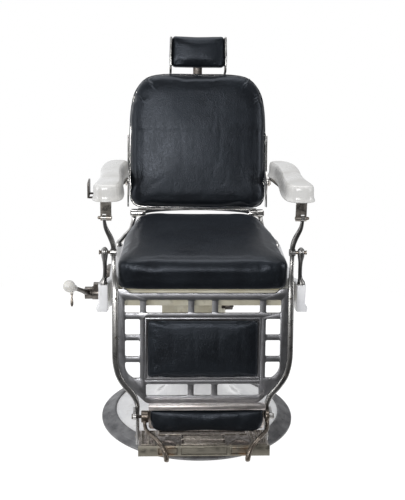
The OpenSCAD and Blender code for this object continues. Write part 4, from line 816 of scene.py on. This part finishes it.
crisp("leg_panel", "leg_panel_casting", ALUMINIUM, 1.3)
crisp("footplate", "footplate_casting", TREAD, 0.7)
crisp("flip_tray", "flip_tray_sheet", STRIP, 0.8, 35)
glazed("flip_arms", "flip_arms_forging", BROWNED, 0.0013, 8)
crisp("flip_pins", "flip_pins_turned", STEEL, 0.8, 40)
rail_screws = [(259, 16), (259, 133), (247.5, 250)]
places = [placed(IN_LEG, s * x, -1.9, -z, TO_FRONT) for s in (-1, 1) for x, z in rail_screws]
tiny = screw_head(radius=0.0032, height=0.0018)
stamped(tiny, "rail_screw_head", places, "legrest", STEEL, "rail_screws")
bpy.data.objects.remove(tiny)
places = [placed(IN_LEG, s * 199.2, 9, -439, OUTWARD[s]) for s in (-1, 1)]
stamped(small, "footplate_bolt_head", places, "legrest", STEEL, "footplate_bolts")
bpy.data.objects.remove(small)


DECK, LIP_FACE = -425.2, -0.3  # each a little under its face of the footplate


def bead_frame(name, x0, x1, y0, y1, z, width, height, place):
    """A raised rounded bead round a field of the footplate, drawn flat at height z and then placed."""
    bpy.ops.mesh.primitive_plane_add(size=1, location=((x0 + x1) / 2000, (y0 + y1) / 2000, z / 1000))
    obj = bpy.context.object
    obj.name = obj.data.name = name
    obj.scale = ((x1 - x0) / 1000, (y1 - y0) / 1000, 1)
    bpy.ops.object.transform_apply(location=True, rotation=True, scale=True)
    pick(obj, lambda c, n: True)
    bpy.ops.mesh.inset(thickness=width / 1000)
    bpy.ops.mesh.delete(type="FACE")
    bpy.ops.mesh.select_all(action="SELECT")
    bpy.ops.mesh.extrude_region_move(TRANSFORM_OT_translate={"value": (0, 0, height / 1000)})
    bpy.ops.mesh.select_all(action="SELECT")
    bpy.ops.mesh.normals_make_consistent(inside=False)
    bpy.ops.object.mode_set(mode="OBJECT")
    ease_edges(obj, min(width, height) * 0.36 / 1000, 40)
    obj.data.transform(place)
    settle(obj, "legrest", TREAD)


def heel_arch(name, x, radius, front):
    """A bold rounded arch on the deck behind each prong, its two feet on the lip."""
    bpy.ops.mesh.primitive_torus_add(major_segments=72, minor_segments=20, major_radius=radius / 1000,
                                     minor_radius=0.0046, location=(x / 1000, front / 1000, DECK / 1000))
    obj = bpy.context.object
    obj.name = obj.data.name = name
    obj.scale = (1, 1.35, 1)
    bpy.ops.object.transform_apply(location=True, rotation=True, scale=True)
    bpy.ops.object.mode_set(mode="EDIT")
    bpy.ops.mesh.select_all(action="SELECT")
    bpy.ops.mesh.bisect(plane_co=(0, front / 1000, 0), plane_no=(0, 1, 0), clear_inner=True, use_fill=True)
    bpy.ops.object.mode_set(mode="OBJECT")
    obj.data.transform(IN_LEG)
    settle(obj, "legrest", TREAD)


bead_frame("tread_field_bead", -66, 66, -117, -74, DECK, 3.6, 4.2, IN_LEG)
bead_frame("tread_second_bead", -66, 66, -70, -28, DECK, 3.6, 4.2, IN_LEG)
bead_frame("tread_cross_bead", -132, 132, -24, 12, DECK, 3.2, 3.2, IN_LEG)
LIP = IN_LEG @ Matrix.Translation(mm(0, -125, 0)) @ TO_FRONT
for s, side in SIDES:
    lo, hi = (139, 183) if s > 0 else (-183, -139)
    bead_frame(f"tread_side_bead_{side}", lo, hi, -117, 12, DECK, 3.2, 3.6, IN_LEG)
    lo, hi = (75, 135) if s > 0 else (-135, -75)
    bead_frame(f"lip_bead_{side}", lo, hi, -452, -428, LIP_FACE, 4.5, 2.6, LIP)
    heel_arch(f"heel_arch_{side}", s * 105, 29, -121)
bead_frame("lip_middle_bead", -68, 68, -452, -428, LIP_FACE, 3.0, 2.0, LIP)

# Rows of small four-sided studs at both sides of the deck, as one piece
bpy.ops.mesh.primitive_cone_add(vertices=4, radius1=0.0042, radius2=0.0012, depth=0.0024, location=(0, 0, 0.0010))
stud = bpy.context.object
columns = [s * x for s in (-1, 1) for x in (144, 161, 178)]
row = []
for place in [placed(IN_LEG, x, -110 + 13 * i, -425, Matrix()) for x in columns for i in range(10)]:
    one = stud.copy()
    one.data = stud.data.copy()
    scene.collection.objects.link(one)
    one.data.transform(place)
    row.append(one)
bpy.ops.object.select_all(action="DESELECT")
for one in row:
    one.select_set(True)
bpy.context.view_layer.objects.active = row[0]
bpy.ops.object.join()
row[0].name = row[0].data.name = "tread_studs"
bpy.data.objects.remove(stud)
settle(row[0], "legrest", TREAD, angle=20)

# ---- Floor, light and camera ----


def pale_stage():
    # Painted studio floor: white to the eye, with the object's own soft shadow left on it
    mat, where = blank("studio_floor_paint")
    cloud = mottle(mat, where, 400, 0.4, 0.7)
    base = mixed(mat, cloud, ink("#f7f7f7"), ink("#f3f3f4"))
    painted = add(mat, "BsdfPrincipled", {"Base Color": base, "Roughness": 0.9})
    glow = add(mat, "Emission", {"Color": (1, 1, 1, 1), "Strength": 1.24})
    path = add(mat, "LightPath")
    seen = add(mat, "Math", {0: path.outputs["Is Camera Ray"], 1: path.outputs["Is Glossy Ray"]}, operation="MAXIMUM")
    seen = add(mat, "Math", {0: seen.outputs[0], 1: path.outputs["Is Transmission Ray"]}, operation="MAXIMUM")
    share = add(mat, "Math", {0: seen.outputs[0], 1: 0.74}, operation="MULTIPLY")
    return close(mat, add(mat, "MixShader", {0: share.outputs[0], 1: painted.outputs[0], 2: glow.outputs[0]}))


bpy.ops.mesh.primitive_circle_add(vertices=96, radius=1.2, fill_type="NGON", location=(0, 0.4, -0.0003))
floor = bpy.context.object
floor.name = "studio_floor"
floor.data.materials.append(pale_stage())


def studio_air():
    # White behind the object and underfoot for eye and metal alike, the darker half of the room behind the camera
    world = bpy.data.worlds.new("studio_air")
    scene.world = world
    world.use_nodes = True
    world.node_tree.nodes.clear()
    toward = add(world, "SeparateXYZ", {"Vector": add(world, "TexCoord").outputs["Generated"]}).outputs

    def across(axis, start, end, low, high):
        return add(world, "MapRange", {"Value": toward[axis], "From Min": start, "From Max": end,
                                       "To Min": low, "To Max": high}).outputs[0]

    reflected = times(world, across("Y", -0.9, 0.5, 0.03, 1.08), across("X", -0.45, 0.5, 1.12, 0.38))
    lit = add(world, "LightPath").outputs
    air = add(world, "Background", {"Color": (0.97, 0.985, 1.0, 1.0), "Strength": across("Y", -0.9, 0.6, 0.30, 0.62)})
    shiny = add(world, "Background", {"Color": (0.97, 0.98, 1.0, 1.0), "Strength": reflected})
    white = add(world, "Background", {"Color": (1.0, 1.0, 1.0, 1.0), "Strength": 1.0})
    mirror = add(world, "Math", {0: lit["Is Glossy Ray"], 1: lit["Is Transmission Ray"]}, operation="MAXIMUM")
    indoors = add(world, "MixShader", {0: mirror.outputs[0], 1: air.outputs[0], 2: shiny.outputs[0]})
    shown = add(world, "MixShader", {0: lit["Is Camera Ray"], 1: indoors.outputs[0], 2: white.outputs[0]})
    add(world, "OutputWorld", {"Surface": shown.outputs[0]})


def softbox(name, place, aim, size, watts):
    lamp = bpy.data.lights.new(name, "AREA")
    lamp.shape, lamp.size, lamp.size_y = "RECTANGLE", size[0], size[1]
    lamp.energy = watts
    obj = bpy.data.objects.new(name, lamp)
    scene.collection.objects.link(obj)
    obj.location = place
    obj.rotation_euler = (Vector(aim) - Vector(place)).to_track_quat("-Z", "Y").to_euler()


studio_air()
softbox("key_left", (-0.75, -3.1, 1.62), (0, 0, 0.75), (1.3, 0.6), 50)
softbox("side_left", (-2.9, -1.3, 1.35), (0, 0, 0.75), (0.8, 1.5), 20)
softbox("side_right", (2.9, -1.5, 1.35), (0, 0, 0.75), (0.8, 1.5), 26)
softbox("overhead", (0.1, 0.2, 2.9), (0, -0.1, 0.6), (2.2, 1.6), 26)

# The camera stands at eye, looks at goal and has a slight roll
eye, goal, roll = Vector((-0.1514, -3.1464, 1.5785)), Vector((0.0094, 0.0, 0.5805)), math.radians(1.03)
ahead = (goal - eye).normalized()
right = ahead.cross(Vector((0, 0, 1))).normalized()
up = right.cross(ahead)
turned_right = right * math.cos(roll) + up * math.sin(roll)
turned_up = up * math.cos(roll) - right * math.sin(roll)
lens = bpy.data.cameras.new("camera")
lens.lens, lens.sensor_width, lens.sensor_fit = 74.28, 36.0, "AUTO"
camera = bpy.data.objects.new("camera", lens)
scene.collection.objects.link(camera)
camera.matrix_world = Matrix((
    (turned_right.x, turned_up.x, -ahead.x, eye.x),
    (turned_right.y, turned_up.y, -ahead.y, eye.y),
    (turned_right.z, turned_up.z, -ahead.z, eye.z),
    (0, 0, 0, 1)))
scene.camera = camera
scene.view_settings.view_transform = "Standard"
